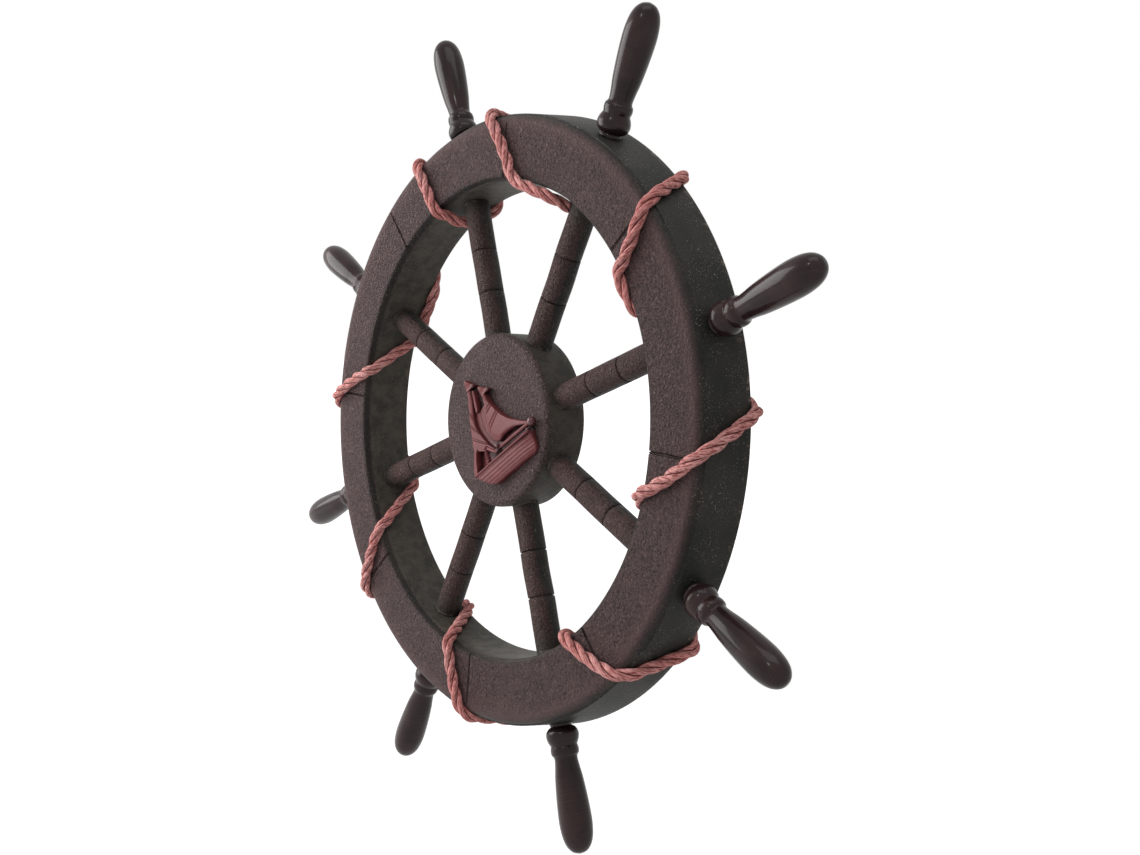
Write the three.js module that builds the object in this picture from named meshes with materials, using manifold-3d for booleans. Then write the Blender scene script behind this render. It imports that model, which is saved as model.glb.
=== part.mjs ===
// A decorative ship's wheel that hangs flat on a wall, in millimetres.
// The wheel's axis is the Y axis, and its flat back lies in the plane Y = 0 against the wall.
// The front faces -Y and +Z is up. The origin is the centre of the hub's back.
// Angles are clockwise from the top, as the wheel is seen from the front.

import * as THREE from 'three';
import { mergeVertices } from 'three/addons/utils/BufferGeometryUtils.js';
import Module from 'manifold-3d';

const wasm = await Module();
wasm.setup();

// Whole wheel
const ARM_COUNT = 8;               // spokes, and handles in line with them
const FIT_GAP = 0.3;               // clearance of a tenon in its socket, and of a piece on its seat
const OVERRUN = 3;                 // how far a cutter runs past the surface that it opens

// Rim
const RIM_OUTER_RADIUS = 162.75;   // at the flat back
const RIM_WIDTH = 38.3;            // outer to inner edge, at the flat back
const RIM_THICKNESS = 29.1;
const RIM_OUTER_DRAFT = 3.2;       // how far the outer wall leans in on its way to the front
const RIM_INNER_DRAFT = 1;         // how far the inner wall opens on its way to the front
const FACE_RISE = 3.9;             // height of the face above the crease that runs round it
const CREASE_LEDGE = 0.7;          // step between a wall and the face's shoulder
const OUTER_SHOULDER = 5.3;        // width of the rounding at the face's outer edge
const INNER_SHOULDER = 1.3;        // width of the rounding at the face's inner edge
const SCORE_WIDTH = 1.4;           // lines scored across the face, which look like joints
const SCORE_DEPTH = 1;
const SCORE_END_GAP = 5;           // uncut stretch between a scored line and the outer crease

// Hub
const HUB_RADIUS = 46.2;
const HUB_THICKNESS = 24.1;
const HUB_EDGE_RADIUS = 3.5;       // rounding of the front edge

// Spokes
const SPOKE_RADIUS = 6.77;
const SPOKE_TENON = 9;             // depth of each end in its socket
const SPOKE_GROOVE_WIDTH = 1.6;
const SPOKE_GROOVE_DEPTH = 0.8;
const spokeGrooveShares = [0.324, 0.633];   // places of the turned grooves, from hub to rim

// Handles
const HANDLE_LENGTH = 63.1;        // foot to tip, which puts the tips 225 mm from the wheel's axis
const HANDLE_RADIUS = 8.45;        // at the widest bead, and at the thick end of the grip
const HANDLE_TENON_RADIUS = 4.4;
const HANDLE_TENON_LENGTH = 14;
const handleOutlineShares = [      // place along the handle, and radius
  [0.000, 0.62], [0.018, 0.82], [0.045, 0.96], [0.078, 1.00], [0.112, 0.95], [0.140, 0.86],
  [0.153, 0.81], [0.166, 0.83], [0.192, 0.86], [0.222, 0.83], [0.238, 0.74], [0.262, 0.700],
  [0.330, 0.755], [0.416, 0.850], [0.573, 0.950], [0.730, 1.000], [0.820, 0.965], [0.890, 0.870],
  [0.945, 0.690], [0.984, 0.400], [1.000, 0.000],
];
// Each handle is set by hand. In degrees: its foot's place along the rim from its spoke's line, and how far
// the handle leans from the radius there, clockwise.
const handlePlaceAndLeanAngles = [
  [1.8, -5], [0.5, -4.3], [0, 1], [-0.5, 1.8], [-2, 1.9], [0.2, -3.1], [0, 0.3], [1.3, -5.3],
];

// Rope
const ROPE_DIAMETER = 6.6;
const ROPE_TURNS = ARM_COUNT;      // one between each two handles
const ROPE_SIDES = 6;
const ROPE_FIRST_ANGLE = 180;      // middle of the first turn, in degrees
const ROPE_TURN_ANGLE = 360 / ROPE_TURNS;
const ROPE_START_ANGLE = 162.5;    // where the first end lies on the back, in degrees
const ROPE_FINISH_ANGLE = 519;     // where the last end lies on the back, in degrees
const ROPE_WALL_SLACK = 4;         // how far a loose turn may hang clear of the inner wall
const ropeLateSlackShare = 0.8;    // of that slack, where the turn nears the back
const ropeNeighbourShare = 5;      // stretches nearer than this many diameters along the rope are neighbours
// Each row is one turn. Its angles are in degrees from the turn's middle: at the back's outer edge, at the
// face's outer edge, where it reaches and leaves the face's inner edge, and where it reaches and leaves the
// back's inner edge. The last two numbers are shares of the slack, at the face's inner edge and on the wall.
const ropeTurnLeanAndSlackShares = [
  [-3.0, 0.4, 9.0, 9.8, 20.0, 26.0, 0.00, 0.20],
  [-4.5, -1.5, 7.4, 8.2, 19.5, 26.5, 0.00, 0.00],
  [-10.3, -1.8, 6.6, 7.4, 17.3, 36.5, 0.00, 0.00],
  [6.2, 13.7, 16.3, 16.9, 17.3, 23.0, 0.20, 1.00],
  [-11.5, -5.5, 4.8, 16.5, 17.9, 33.6, 0.00, 0.30],
  [-6.3, 0.0, 5.0, 15.5, 18.0, 27.0, 0.00, 0.00],
  [-8.2, -1.2, 8.8, 9.6, 17.8, 27.0, 0.00, 0.00],
  [-11.4, -3.7, 6.0, 6.8, 17.6, 18.4, 0.00, 0.00],
];

// Staples that hold the rope's ends
const STAPLE_WIRE = 1.1;
const STAPLE_LEG = 5;              // depth in the rim
const STAPLE_FROM_END = 7;         // rope's end to the middle of its staple

// Hanger
const HANGER_INSET = 7.75;         // rim's outer edge to the ring's hinge line
const PLATE_WIDTH = 10;
const PLATE_THICKNESS = 1.2;
const PLATE_TAIL = 4.5;            // screw's middle to the rounded end of the plate
const RING_WIRE_RADIUS = 1.1;
const RING_BAR_LENGTH = 16.4;      // straight side, between the middles of the two corners
const RING_DEPTH = 13.5;           // straight side to the tip
const RING_CORNER = 2.6;           // how far from each end of the straight side the bend starts
const RING_TIP_CORNER = 4.2;       // how far from the tip its bend starts
const KNUCKLE_WALL = 1.2;
const SCREW_RADIUS = 1.5;
const SCREW_POINT = 3;             // length of the pointed end
const SCREW_HEAD_RADIUS = 3;
const SCREW_HEAD_HEIGHT = 1.7;
const SCREW_LENGTH = 12;
const SCREW_RECESS_WIDTH = 0.9;
const SCREW_RECESS_LENGTH = 3.4;
const SCREW_RECESS_DEPTH = 1;
const screwHeadShares = [[1, 0], [1, 0.4], [0.8, 0.85], [0.45, 1], [0, 1]];   // radius and height

// Emblem: outlines of an upright ship, as shares of its length from the middle and of its height from
// the keel
const EMBLEM_LENGTH = 57;          // bow to stern
const EMBLEM_HEIGHT = 62;          // keel to the top of the taller pennant
const EMBLEM_TILT = 36;            // how far the ship is turned up at the bow, in degrees
const EMBLEM_SHIFT_X = 2.2;        // hub's middle to the middle of the ship, sideways
const EMBLEM_SHIFT_Z = 0.4;        // and upwards
const HULL_RELIEF = 5.6;           // heights above the hub
const STERN_RELIEF = 4.8;
const SAIL_RELIEF = 4.2;
const INNER_SAIL_RELIEF = 2.8;
const PENNANT_RELIEF = 3.4;
const WELL_RELIEF = 1.6;           // floor of the hollows between the sails and the deck
const RAIL_RADIUS = 1.3;
const RAIL_MIDDLE = 2.6;           // height of the rail's middle above the hub
const BOW_KNOB_RADIUS = 2.5;
const MAST_KNOB_RADIUS = 1.3;
const PLANK_LINE_WIDTH = 0.6;
const PLANK_LINE_DEPTH = 0.5;
const hullShares = [
  [-0.455, 0.172], [-0.40, 0.114], [-0.34, 0.062], [-0.27, 0.012], [-0.16, -0.015], [0.42, -0.018],
  [0.473, -0.007], [0.505, 0.027], [0.49, 0.092], [0.485, 0.156],
];
const sternShares = [
  [-0.475, 0.21], [-0.42, 0.304], [-0.365, 0.388], [-0.30, 0.345], [-0.336, 0.326], [-0.375, 0.248],
  [-0.40, 0.172], [-0.455, 0.168],
];
const mainSailShares = [
  [-0.197, 0.871], [-0.223, 0.806], [-0.252, 0.735], [-0.284, 0.66], [-0.308, 0.594], [-0.336, 0.508],
  [-0.364, 0.417], [-0.376, 0.388], [-0.30, 0.344], [-0.175, 0.316], [-0.121, 0.255], [-0.04, 0.205],
  [-0.03, 0.22], [-0.054, 0.238], [-0.132, 0.322], [-0.183, 0.41], [-0.217, 0.484], [-0.236, 0.563],
  [-0.228, 0.63], [-0.196, 0.706], [-0.17, 0.778], [-0.134, 0.852],
];
const innerSailShares = [
  [-0.17, 0.86], [-0.20, 0.72], [-0.25, 0.60], [-0.235, 0.48], [-0.15, 0.36], [-0.03, 0.25], [-0.05, 0.36],
  [-0.06, 0.50], [-0.01, 0.66], [0.01, 0.70], [-0.05, 0.70], [-0.16, 0.66], [-0.125, 0.83],
];
const headSailShares = [
  [0.005, 0.72], [-0.019, 0.676], [-0.022, 0.615], [-0.054, 0.547], [-0.078, 0.475], [-0.087, 0.396],
  [-0.044, 0.319], [0.01, 0.292], [0.073, 0.262], [0.131, 0.27], [0.182, 0.274], [0.298, 0.262],
  [0.409, 0.234], [0.495, 0.213], [0.498, 0.222], [0.389, 0.29], [0.232, 0.398], [0.14, 0.495],
  [0.081, 0.588], [0.038, 0.667], [0.036, 0.717],
];
const pennantShares = [[-0.199, 0.995], [-0.085, 0.89], [-0.13, 0.85], [-0.20, 0.865], [-0.228, 0.885]];
const smallPennantShares = [[-0.034, 0.845], [0.089, 0.76], [0.036, 0.715], [-0.002, 0.715], [-0.03, 0.74]];
const wellShares = [
  [-0.455, 0.16], [-0.44, 0.23], [-0.35, 0.36], [-0.12, 0.32], [-0.02, 0.24], [0.09, 0.30], [0.46, 0.24],
  [0.47, 0.15],
];
const railShares = [[0.03, 0.229], [0.50, 0.212]];
const bowKnobShares = [0.521, 0.215];
const mastKnobShares = [[-0.093, 0.887], [0.095, 0.751]];
const plankLineShares = [0.035, 0.075, 0.115, 0.155];

// Facets round the turned pieces
const RIM_SEGMENTS = 96;
const HUB_SEGMENTS = 48;
const SPOKE_SEGMENTS = 14;
const HANDLE_SEGMENTS = 16;

const RIGHT_ANGLE = Math.PI / 2;
const rimMiddleY = -RIM_THICKNESS / 2;
const creaseY = FACE_RISE - RIM_THICKNESS;
const outerCrease = RIM_OUTER_RADIUS - RIM_OUTER_DRAFT;
const rimInnerRadius = RIM_OUTER_RADIUS - RIM_WIDTH;
const innerCrease = rimInnerRadius + RIM_INNER_DRAFT;
const outerWallSlope = RIM_OUTER_DRAFT / -creaseY;
const spokeY = -HUB_THICKNESS / 2;

// Materials
const paintedWood = () => new THREE.MeshStandardMaterial({ color: 0x5a4c4a, roughness: 0.85 });
const lacqueredWood = () => new THREE.MeshStandardMaterial({ color: 0x35292a, roughness: 0.35 });
const castResin = () => new THREE.MeshStandardMaterial({ color: 0x744a4d, roughness: 0.45 });
const cottonRope = () => new THREE.MeshStandardMaterial({ color: 0xb4827c, roughness: 0.95 });
const zincSteel = () => new THREE.MeshStandardMaterial({ color: 0xa9a8a3, roughness: 0.4, metalness: 1 });

// Turns a closed geometry into a solid that can be cut and joined.
function solidOf(geometry) {
  const bare = geometry.index ? geometry.toNonIndexed() : geometry.clone();
  bare.deleteAttribute('normal');
  bare.deleteAttribute('uv');
  const merged = mergeVertices(bare);
  const vertProperties = new Float32Array(merged.attributes.position.array);
  const triVerts = new Uint32Array(merged.index.array);
  return new wasm.Manifold(new wasm.Mesh({ numProp: 3, vertProperties, triVerts }));
}

// Turns a solid back into a geometry.
function geometryOf(solid) {
  const mesh = solid.getMesh();
  const geometry = new THREE.BufferGeometry();
  geometry.setAttribute('position', new THREE.BufferAttribute(new Float32Array(mesh.vertProperties), 3));
  geometry.setIndex(new THREE.BufferAttribute(new Uint32Array(mesh.triVerts), 1));
  geometry.computeVertexNormals();
  return geometry;
}

function cutFrom(body, cutters) {
  return cutters.reduce((solid, cutter) => solid.subtract(solidOf(cutter)), body);
}

// Revolves a profile of [radius, height] pairs about the Y axis. It runs up the outside of the piece.
function turned(profile, segments) {
  const points = profile.map(([radius, height]) => new THREE.Vector2(radius, height));
  return new THREE.LatheGeometry(points, segments);
}

// Turns a geometry that stands along +Y until it stands along the radius at an angle of the wheel.
function laidAlongRadius(geometry, angle) {
  return geometry.rotateX(RIGHT_ANGLE).rotateY(angle);
}

// A round bore along the radius at an angle of the wheel, at a height y on the wheel's axis.
function radialBore(radius, from, to, y, angle, segments) {
  const bore = new THREE.CylinderGeometry(radius, radius, to - from, segments);
  bore.translate(0, (from + to) / 2, 0);
  return laidAlongRadius(bore, angle).translate(0, y, 0);
}

// Angles of the arms and of the scored lines midway between them
const armAngle = (index) => (index + 0.5) * 2 * Math.PI / ARM_COUNT;
const scoreAngle = (index) => index * 2 * Math.PI / ARM_COUNT;
const armIndexes = [...Array(ARM_COUNT).keys()];

// Rim's section, from the back's inner edge round the outside to the inner wall
function rimSection() {
  const section = [[rimInnerRadius, 0], [innerCrease, creaseY]];
  const innerFoot = innerCrease + CREASE_LEDGE;
  const outerFoot = outerCrease - CREASE_LEDGE;
  for (const share of [0, 0.5, 1]) {
    const turn = share * RIGHT_ANGLE;
    section.push([innerFoot + INNER_SHOULDER * (1 - Math.cos(turn)), creaseY - FACE_RISE * Math.sin(turn)]);
  }
  for (const share of [1, 0.66, 0.33, 0]) {
    const turn = share * RIGHT_ANGLE;
    section.push([outerFoot - OUTER_SHOULDER * (1 - Math.cos(turn)), creaseY - FACE_RISE * Math.sin(turn)]);
  }
  section.push([outerCrease, creaseY], [RIM_OUTER_RADIUS, 0], [rimInnerRadius, 0]);
  return section;
}

// A handle's foot is a flat disc, which stands clear of the leaning wall by the fit gap.
const handleFootRadius = handleOutlineShares[0][1] * HANDLE_RADIUS;
const handleSeat = RIM_OUTER_RADIUS + (rimMiddleY + handleFootRadius) * outerWallSlope + FIT_GAP;

function scoredLine(angle) {
  const from = rimInnerRadius - OVERRUN;
  const to = outerCrease - SCORE_END_GAP;
  const line = new THREE.BoxGeometry(SCORE_WIDTH, SCORE_DEPTH + OVERRUN, to - from);
  line.translate(0, SCORE_DEPTH - RIM_THICKNESS - (SCORE_DEPTH + OVERRUN) / 2, (from + to) / 2);
  return line.rotateY(angle);
}

// The rope's middle follows the rim's section at this distance.
const ropeRadius = ROPE_DIAMETER / 2;
const ropeReach = ropeRadius + FIT_GAP;

// The middle of the rope beside a point of the rim's section, moved out along the direction [r, y].
function besideRim([r, y], [dr, dy]) {
  const length = Math.hypot(dr, dy);
  return [r + ropeReach * dr / length, y + ropeReach * dy / length];
}

// Four places round a sharp corner of the section, from one wall's outward direction to the next one's.
function roundCorner(corner, [r0, y0], [r1, y1]) {
  return [0, 1 / 3, 2 / 3, 1].map((share) => {
    const [from, to] = [Math.cos(share * RIGHT_ANGLE), Math.sin(share * RIGHT_ANGLE)];
    return besideRim(corner, [r0 * from + r1 * to, y0 * from + y1 * to]);
  });
}

// The rope's four bends, each in four places: the back's and the face's outer edge, then their inner edges.
function ropeCorners() {
  const outward = [1, -outerWallSlope];
  const inward = [-1, 0];
  const frontward = [0, -1];
  const backward = [0, 1];
  const outerShoulder = [0.33, 0.66].map((share) => {
    const turn = share * RIGHT_ANGLE;
    const edge = [
      outerCrease - CREASE_LEDGE - OUTER_SHOULDER * (1 - Math.cos(turn)),
      creaseY - FACE_RISE * Math.sin(turn),
    ];
    return besideRim(edge, [FACE_RISE * Math.cos(turn), -OUTER_SHOULDER * Math.sin(turn)]);
  });
  const faceOuter = [outerCrease - CREASE_LEDGE - OUTER_SHOULDER, -RIM_THICKNESS];
  const faceInner = [innerCrease + CREASE_LEDGE, -RIM_THICKNESS];
  return [
    roundCorner([RIM_OUTER_RADIUS, 0], backward, outward),
    [besideRim([outerCrease, creaseY], outward), ...outerShoulder, besideRim(faceOuter, frontward)],
    [...roundCorner(faceInner, frontward, inward).slice(0, 3), besideRim([innerCrease, creaseY], inward)],
    roundCorner([rimInnerRadius, 0], inward, backward),
  ];
}

// A point of the wheel at an angle in degrees, for a place [r, y] in the section.
function onWheel([r, y], degrees) {
  const angle = THREE.MathUtils.degToRad(degrees);
  return new THREE.Vector3(r * Math.sin(angle), y, r * Math.cos(angle));
}

// Steps along one side of the rim, from corner to corner: the angle goes with the length covered.
function ropeAlongSide(places, fromDegrees, toDegrees) {
  const reached = [0];
  for (let i = 1; i < places.length; i += 1) {
    const [r0, y0] = places[i - 1];
    const [r1, y1] = places[i];
    reached.push(reached[i - 1] + Math.hypot(r1 - r0, y1 - y0));
  }
  const whole = reached[reached.length - 1];
  return places.map((place, i) => [place, fromDegrees + (toDegrees - fromDegrees) * reached[i] / whole]);
}

const between = ([r0, y0], [r1, y1], share) => [r0 + (r1 - r0) * share, y0 + (y1 - y0) * share];
const hungInward = ([r, y], slack) => [r - slack, y];

// One turn of the rope in 24 steps, from the back's outer edge round to where it has crossed the back.
function ropeTurn(turn) {
  const [outerBack, outerFace, innerFace, innerBack] = ropeCorners();
  const middle = ROPE_FIRST_ANGLE + turn * ROPE_TURN_ANGLE;
  const row = ropeTurnLeanAndSlackShares[turn % ropeTurnLeanAndSlackShares.length];
  const next = ropeTurnLeanAndSlackShares[(turn + 1) % ropeTurnLeanAndSlackShares.length];
  const [outBack, outFace, inFace, leaveFace, inBack, leaveBack] = row.map((lean) => middle + lean);
  const [edgeSlack, wallSlack] = row.slice(6).map((share) => share * ROPE_WALL_SLACK);
  const nextBack = middle + ROPE_TURN_ANGLE + next[0];
  const outerWall = [...outerBack, between(outerBack[3], outerFace[0], 0.5), outerFace[0], outerFace[1]];
  const acrossFace = [...outerFace.slice(1),
    ...[0.25, 0.5, 0.75].map((share) => between(outerFace[3], innerFace[0], share)), innerFace[0]];
  const faceEdge = innerFace.map((place, i) => hungInward(place, edgeSlack * Math.min(i, 1)));
  const innerWall = [faceEdge[3], hungInward(between(innerFace[3], innerBack[0], 0.35), wallSlack),
    hungInward(between(innerFace[3], innerBack[0], 0.7), wallSlack * ropeLateSlackShare), innerBack[0]];
  const acrossBack = [0, 0.33, 0.67, 1].map((share) => between(innerBack[3], outerBack[0], share));
  return [
    ...ropeAlongSide(outerWall, outBack, outFace),
    ...ropeAlongSide(acrossFace, outFace, inFace).slice(1),
    ...ropeAlongSide(faceEdge, inFace, leaveFace).slice(1),
    ...ropeAlongSide(innerWall, leaveFace, inBack).slice(1),
    ...ropeAlongSide(innerBack, inBack, leaveBack).slice(1),
    ...ropeAlongSide(acrossBack, leaveBack, nextBack).slice(1, -1),
  ];
}

// Middle line of the rope: from its first end on the back, turn after turn round the rim, to its last end.
function ropeRoute() {
  const [outerBack, , , innerBack] = ropeCorners();
  const backMiddle = between(innerBack[3], outerBack[0], 0.5);
  const firstLean = ropeTurnLeanAndSlackShares[0][0];
  const start = [backMiddle, between(backMiddle, outerBack[0], 0.5), outerBack[0]];
  const stations = ropeAlongSide(start, ROPE_START_ANGLE, ROPE_FIRST_ANGLE + firstLean).slice(0, -1);
  for (let turn = 0; turn < ROPE_TURNS; turn += 1) stations.push(...ropeTurn(turn));
  const [, lastAngle] = stations[stations.length - 3];
  const finish = [innerBack[3], between(innerBack[3], backMiddle, 0.5), backMiddle];
  stations.splice(-2, 2, ...ropeAlongSide(finish, lastAngle, ROPE_FINISH_ANGLE).slice(1));
  return stations.map(([place, degrees]) => onWheel(place, degrees));
}

// A solid tube along points that set off square to the Y axis. It has flat ends, or closes into a ring.
function tubeAlong(points, radius, sides, closed) {
  const count = points.length;
  const positions = [];
  const faces = [];
  const before = (i) => points[closed ? (i + count - 1) % count : Math.max(i - 1, 0)];
  const after = (i) => points[closed ? (i + 1) % count : Math.min(i + 1, count - 1)];
  const direction = after(0).clone().sub(before(0)).normalize();
  const side = new THREE.Vector3(0, 1, 0).cross(direction).normalize();
  points.forEach((point, i) => {
    direction.copy(after(i)).sub(before(i)).normalize();
    side.addScaledVector(direction, -side.dot(direction)).normalize();
    const up = direction.clone().cross(side);
    for (let corner = 0; corner < sides; corner += 1) {
      const angle = 2 * Math.PI * corner / sides;
      const out = side.clone().multiplyScalar(Math.cos(angle)).addScaledVector(up, Math.sin(angle));
      positions.push(...point.clone().addScaledVector(out, radius).toArray());
    }
  });
  const rings = closed ? count : count - 1;
  for (let i = 0; i < rings; i += 1) {
    const here = i * sides;
    const there = ((i + 1) % count) * sides;
    for (let corner = 0; corner < sides; corner += 1) {
      const next = (corner + 1) % sides;
      faces.push(here + corner, here + next, there + next);
      faces.push(here + corner, there + next, there + corner);
    }
  }
  if (!closed) {
    const last = (count - 1) * sides;
    for (let corner = 1; corner < sides - 1; corner += 1) {
      faces.push(0, corner + 1, corner);
      faces.push(last, last + corner, last + corner + 1);
    }
  }
  const geometry = new THREE.BufferGeometry();
  geometry.setAttribute('position', new THREE.Float32BufferAttribute(positions, 3));
  geometry.setIndex(faces);
  geometry.computeVertexNormals();
  return geometry;
}

// Least clear distance between stretches of a tube that aren't neighbours.
function leastGapToItself(points, diameter) {
  const reached = [0];
  for (let i = 1; i < points.length; i += 1) {
    reached.push(reached[i - 1] + points[i].distanceTo(points[i - 1]));
  }
  let least = Infinity;
  for (let i = 0; i < points.length; i += 1) {
    for (let j = i + 1; j < points.length; j += 1) {
      if (reached[j] - reached[i] > diameter * ropeNeighbourShare) {
        least = Math.min(least, points[i].distanceTo(points[j]) - diameter);
      }
    }
  }
  return least;
}

const ropePoints = ropeRoute();
console.log('rope: least gap to itself', leastGapToItself(ropePoints, ROPE_DIAMETER).toFixed(2), 'mm');

// Place and direction of a staple, at a distance from one end of the rope.
function stapleSeat(end, inside) {
  const along = inside.clone().sub(end).normalize();
  const middle = end.clone().addScaledVector(along, STAPLE_FROM_END);
  return { x: middle.x, z: middle.z, turn: Math.atan2(along.x, along.z) };
}
const stapleSeats = [
  stapleSeat(ropePoints[0], ropePoints[1]),
  stapleSeat(ropePoints[ropePoints.length - 1], ropePoints[ropePoints.length - 2]),
];
const stapleInnerHalf = ropeRadius + FIT_GAP;
const stapleCrownY = ropeReach + ropeRadius + FIT_GAP;

// A staple's outline lies across the rope, with its legs towards the rim.
function stapleGeometry() {
  const outer = stapleInnerHalf + STAPLE_WIRE;
  const top = stapleCrownY + STAPLE_WIRE;
  const outline = new THREE.Shape();
  outline.moveTo(-outer, -STAPLE_LEG);
  outline.lineTo(-stapleInnerHalf, -STAPLE_LEG);
  outline.lineTo(-stapleInnerHalf, stapleCrownY);
  outline.lineTo(stapleInnerHalf, stapleCrownY);
  outline.lineTo(stapleInnerHalf, -STAPLE_LEG);
  outline.lineTo(outer, -STAPLE_LEG);
  outline.lineTo(outer, top - STAPLE_WIRE / 2);
  outline.lineTo(outer - STAPLE_WIRE / 2, top);
  outline.lineTo(STAPLE_WIRE / 2 - outer, top);
  outline.lineTo(-outer, top - STAPLE_WIRE / 2);
  const staple = new THREE.ExtrudeGeometry(outline, { depth: STAPLE_WIRE, bevelEnabled: false });
  return staple.translate(0, 0, -STAPLE_WIRE / 2);
}

// Slots in the rim's back for a staple's legs
function stapleSlots(seat) {
  const width = STAPLE_WIRE + 2 * FIT_GAP;
  const depth = STAPLE_LEG + FIT_GAP;
  return [-1, 1].map((side) => {
    const slot = new THREE.BoxGeometry(width, depth + OVERRUN, width);
    slot.translate(side * (stapleInnerHalf + STAPLE_WIRE / 2), (OVERRUN - depth) / 2, 0);
    return slot.rotateY(seat.turn).translate(seat.x, 0, seat.z);
  });
}

// Hanger: the ring hangs from a knuckle rolled at the top of the plate, and the screw is below the ring.
const hangerAxisRadius = RIM_OUTER_RADIUS - HANGER_INSET;
const knuckleRadius = RING_WIRE_RADIUS + FIT_GAP + KNUCKLE_WALL;
const hangerY = Math.max(knuckleRadius, PLATE_THICKNESS + FIT_GAP + RING_WIRE_RADIUS);
const screwZ = hangerAxisRadius - RING_DEPTH - RING_WIRE_RADIUS - FIT_GAP - SCREW_HEAD_RADIUS;
const screwTipY = PLATE_THICKNESS - SCREW_LENGTH;

function screwBore(radius) {
  const bore = new THREE.CylinderGeometry(radius, radius, SCREW_LENGTH + FIT_GAP + OVERRUN, 16);
  return bore.translate(0, (PLATE_THICKNESS + OVERRUN + screwTipY - FIT_GAP) / 2, screwZ);
}

// Place and lean of a handle, in radians
function handleSetting(index) {
  const [place, lean] = handlePlaceAndLeanAngles[index % handlePlaceAndLeanAngles.length];
  return [armAngle(index) + THREE.MathUtils.degToRad(place), THREE.MathUtils.degToRad(lean)];
}

// The bore for a handle's tenon leans with the handle, about the middle of its foot.
function tenonBore(index) {
  const [place, lean] = handleSetting(index);
  const outside = RIM_OUTER_RADIUS + OVERRUN - handleSeat;
  const inside = -HANDLE_TENON_LENGTH - FIT_GAP;
  const bore = radialBore(HANDLE_TENON_RADIUS + FIT_GAP, inside, outside, rimMiddleY, lean, HANDLE_SEGMENTS);
  return bore.translate(0, 0, handleSeat).rotateY(place);
}

function rimGeometry() {
  const cutters = [];
  for (const index of armIndexes) {
    const angle = armAngle(index);
    cutters.push(scoredLine(scoreAngle(index)), tenonBore(index));
    cutters.push(radialBore(SPOKE_RADIUS + FIT_GAP, rimInnerRadius - OVERRUN,
      rimInnerRadius + SPOKE_TENON + FIT_GAP, spokeY, angle, SPOKE_SEGMENTS));
  }
  for (const seat of stapleSeats) cutters.push(...stapleSlots(seat));
  cutters.push(screwBore(SCREW_RADIUS + FIT_GAP));
  return geometryOf(cutFrom(solidOf(turned(rimSection(), RIM_SEGMENTS)), cutters));
}

function hubGeometry() {
  const profile = [[0, -HUB_THICKNESS]];
  for (const share of [0, 0.33, 0.67, 1]) {
    const turn = share * RIGHT_ANGLE;
    profile.push([
      HUB_RADIUS - HUB_EDGE_RADIUS * (1 - Math.sin(turn)),
      HUB_EDGE_RADIUS * (1 - Math.cos(turn)) - HUB_THICKNESS,
    ]);
  }
  profile.push([HUB_RADIUS, 0], [0, 0]);
  const sockets = armIndexes.map((index) => radialBore(SPOKE_RADIUS + FIT_GAP,
    HUB_RADIUS - SPOKE_TENON - FIT_GAP, HUB_RADIUS + OVERRUN, spokeY, armAngle(index), SPOKE_SEGMENTS));
  return geometryOf(cutFrom(solidOf(turned(profile, HUB_SEGMENTS)), sockets));
}

// A spoke along +Y, at its real distance from the wheel's axis
function spokeGeometry() {
  const from = HUB_RADIUS - SPOKE_TENON;
  const to = rimInnerRadius + SPOKE_TENON;
  const profile = [[0, from], [SPOKE_RADIUS, from]];
  for (const share of spokeGrooveShares) {
    const middle = HUB_RADIUS + (rimInnerRadius - HUB_RADIUS) * share;
    profile.push([SPOKE_RADIUS, middle - SPOKE_GROOVE_WIDTH / 2]);
    profile.push([SPOKE_RADIUS - SPOKE_GROOVE_DEPTH, middle]);
    profile.push([SPOKE_RADIUS, middle + SPOKE_GROOVE_WIDTH / 2]);
  }
  profile.push([SPOKE_RADIUS, to], [0, to]);
  return turned(profile, SPOKE_SEGMENTS);
}

// A handle along +Y, with the middle of its foot at the origin
function handleGeometry() {
  const profile = [
    [0, -HANDLE_TENON_LENGTH],
    [HANDLE_TENON_RADIUS, -HANDLE_TENON_LENGTH],
    [HANDLE_TENON_RADIUS, 0],
  ];
  for (const [along, radius] of handleOutlineShares) {
    profile.push([HANDLE_RADIUS * radius, HANDLE_LENGTH * along]);
  }
  return turned(profile, HANDLE_SEGMENTS);
}

function plateGeometry() {
  const half = PLATE_WIDTH / 2;
  const outline = new THREE.Shape();
  outline.moveTo(-half, -hangerAxisRadius);
  outline.lineTo(half, -hangerAxisRadius);
  outline.lineTo(half, PLATE_TAIL - half - screwZ);
  outline.absarc(0, PLATE_TAIL - half - screwZ, half, 0, Math.PI, false);
  const flat = { depth: PLATE_THICKNESS, bevelEnabled: false, curveSegments: 10 };
  const plate = new THREE.ExtrudeGeometry(outline, flat);
  plate.rotateX(-RIGHT_ANGLE);
  const sleeve = new THREE.CylinderGeometry(knuckleRadius, knuckleRadius, PLATE_WIDTH, 20);
  sleeve.rotateZ(RIGHT_ANGLE).translate(0, hangerY, hangerAxisRadius);
  const boreRadius = RING_WIRE_RADIUS + FIT_GAP;
  const bore = new THREE.CylinderGeometry(boreRadius, boreRadius, PLATE_WIDTH + 2 * OVERRUN, 16);
  bore.rotateZ(RIGHT_ANGLE).translate(0, hangerY, hangerAxisRadius);
  const body = solidOf(plate).add(solidOf(sleeve));
  return geometryOf(cutFrom(body, [bore, screwBore(SCREW_RADIUS + FIT_GAP)]));
}

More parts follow.
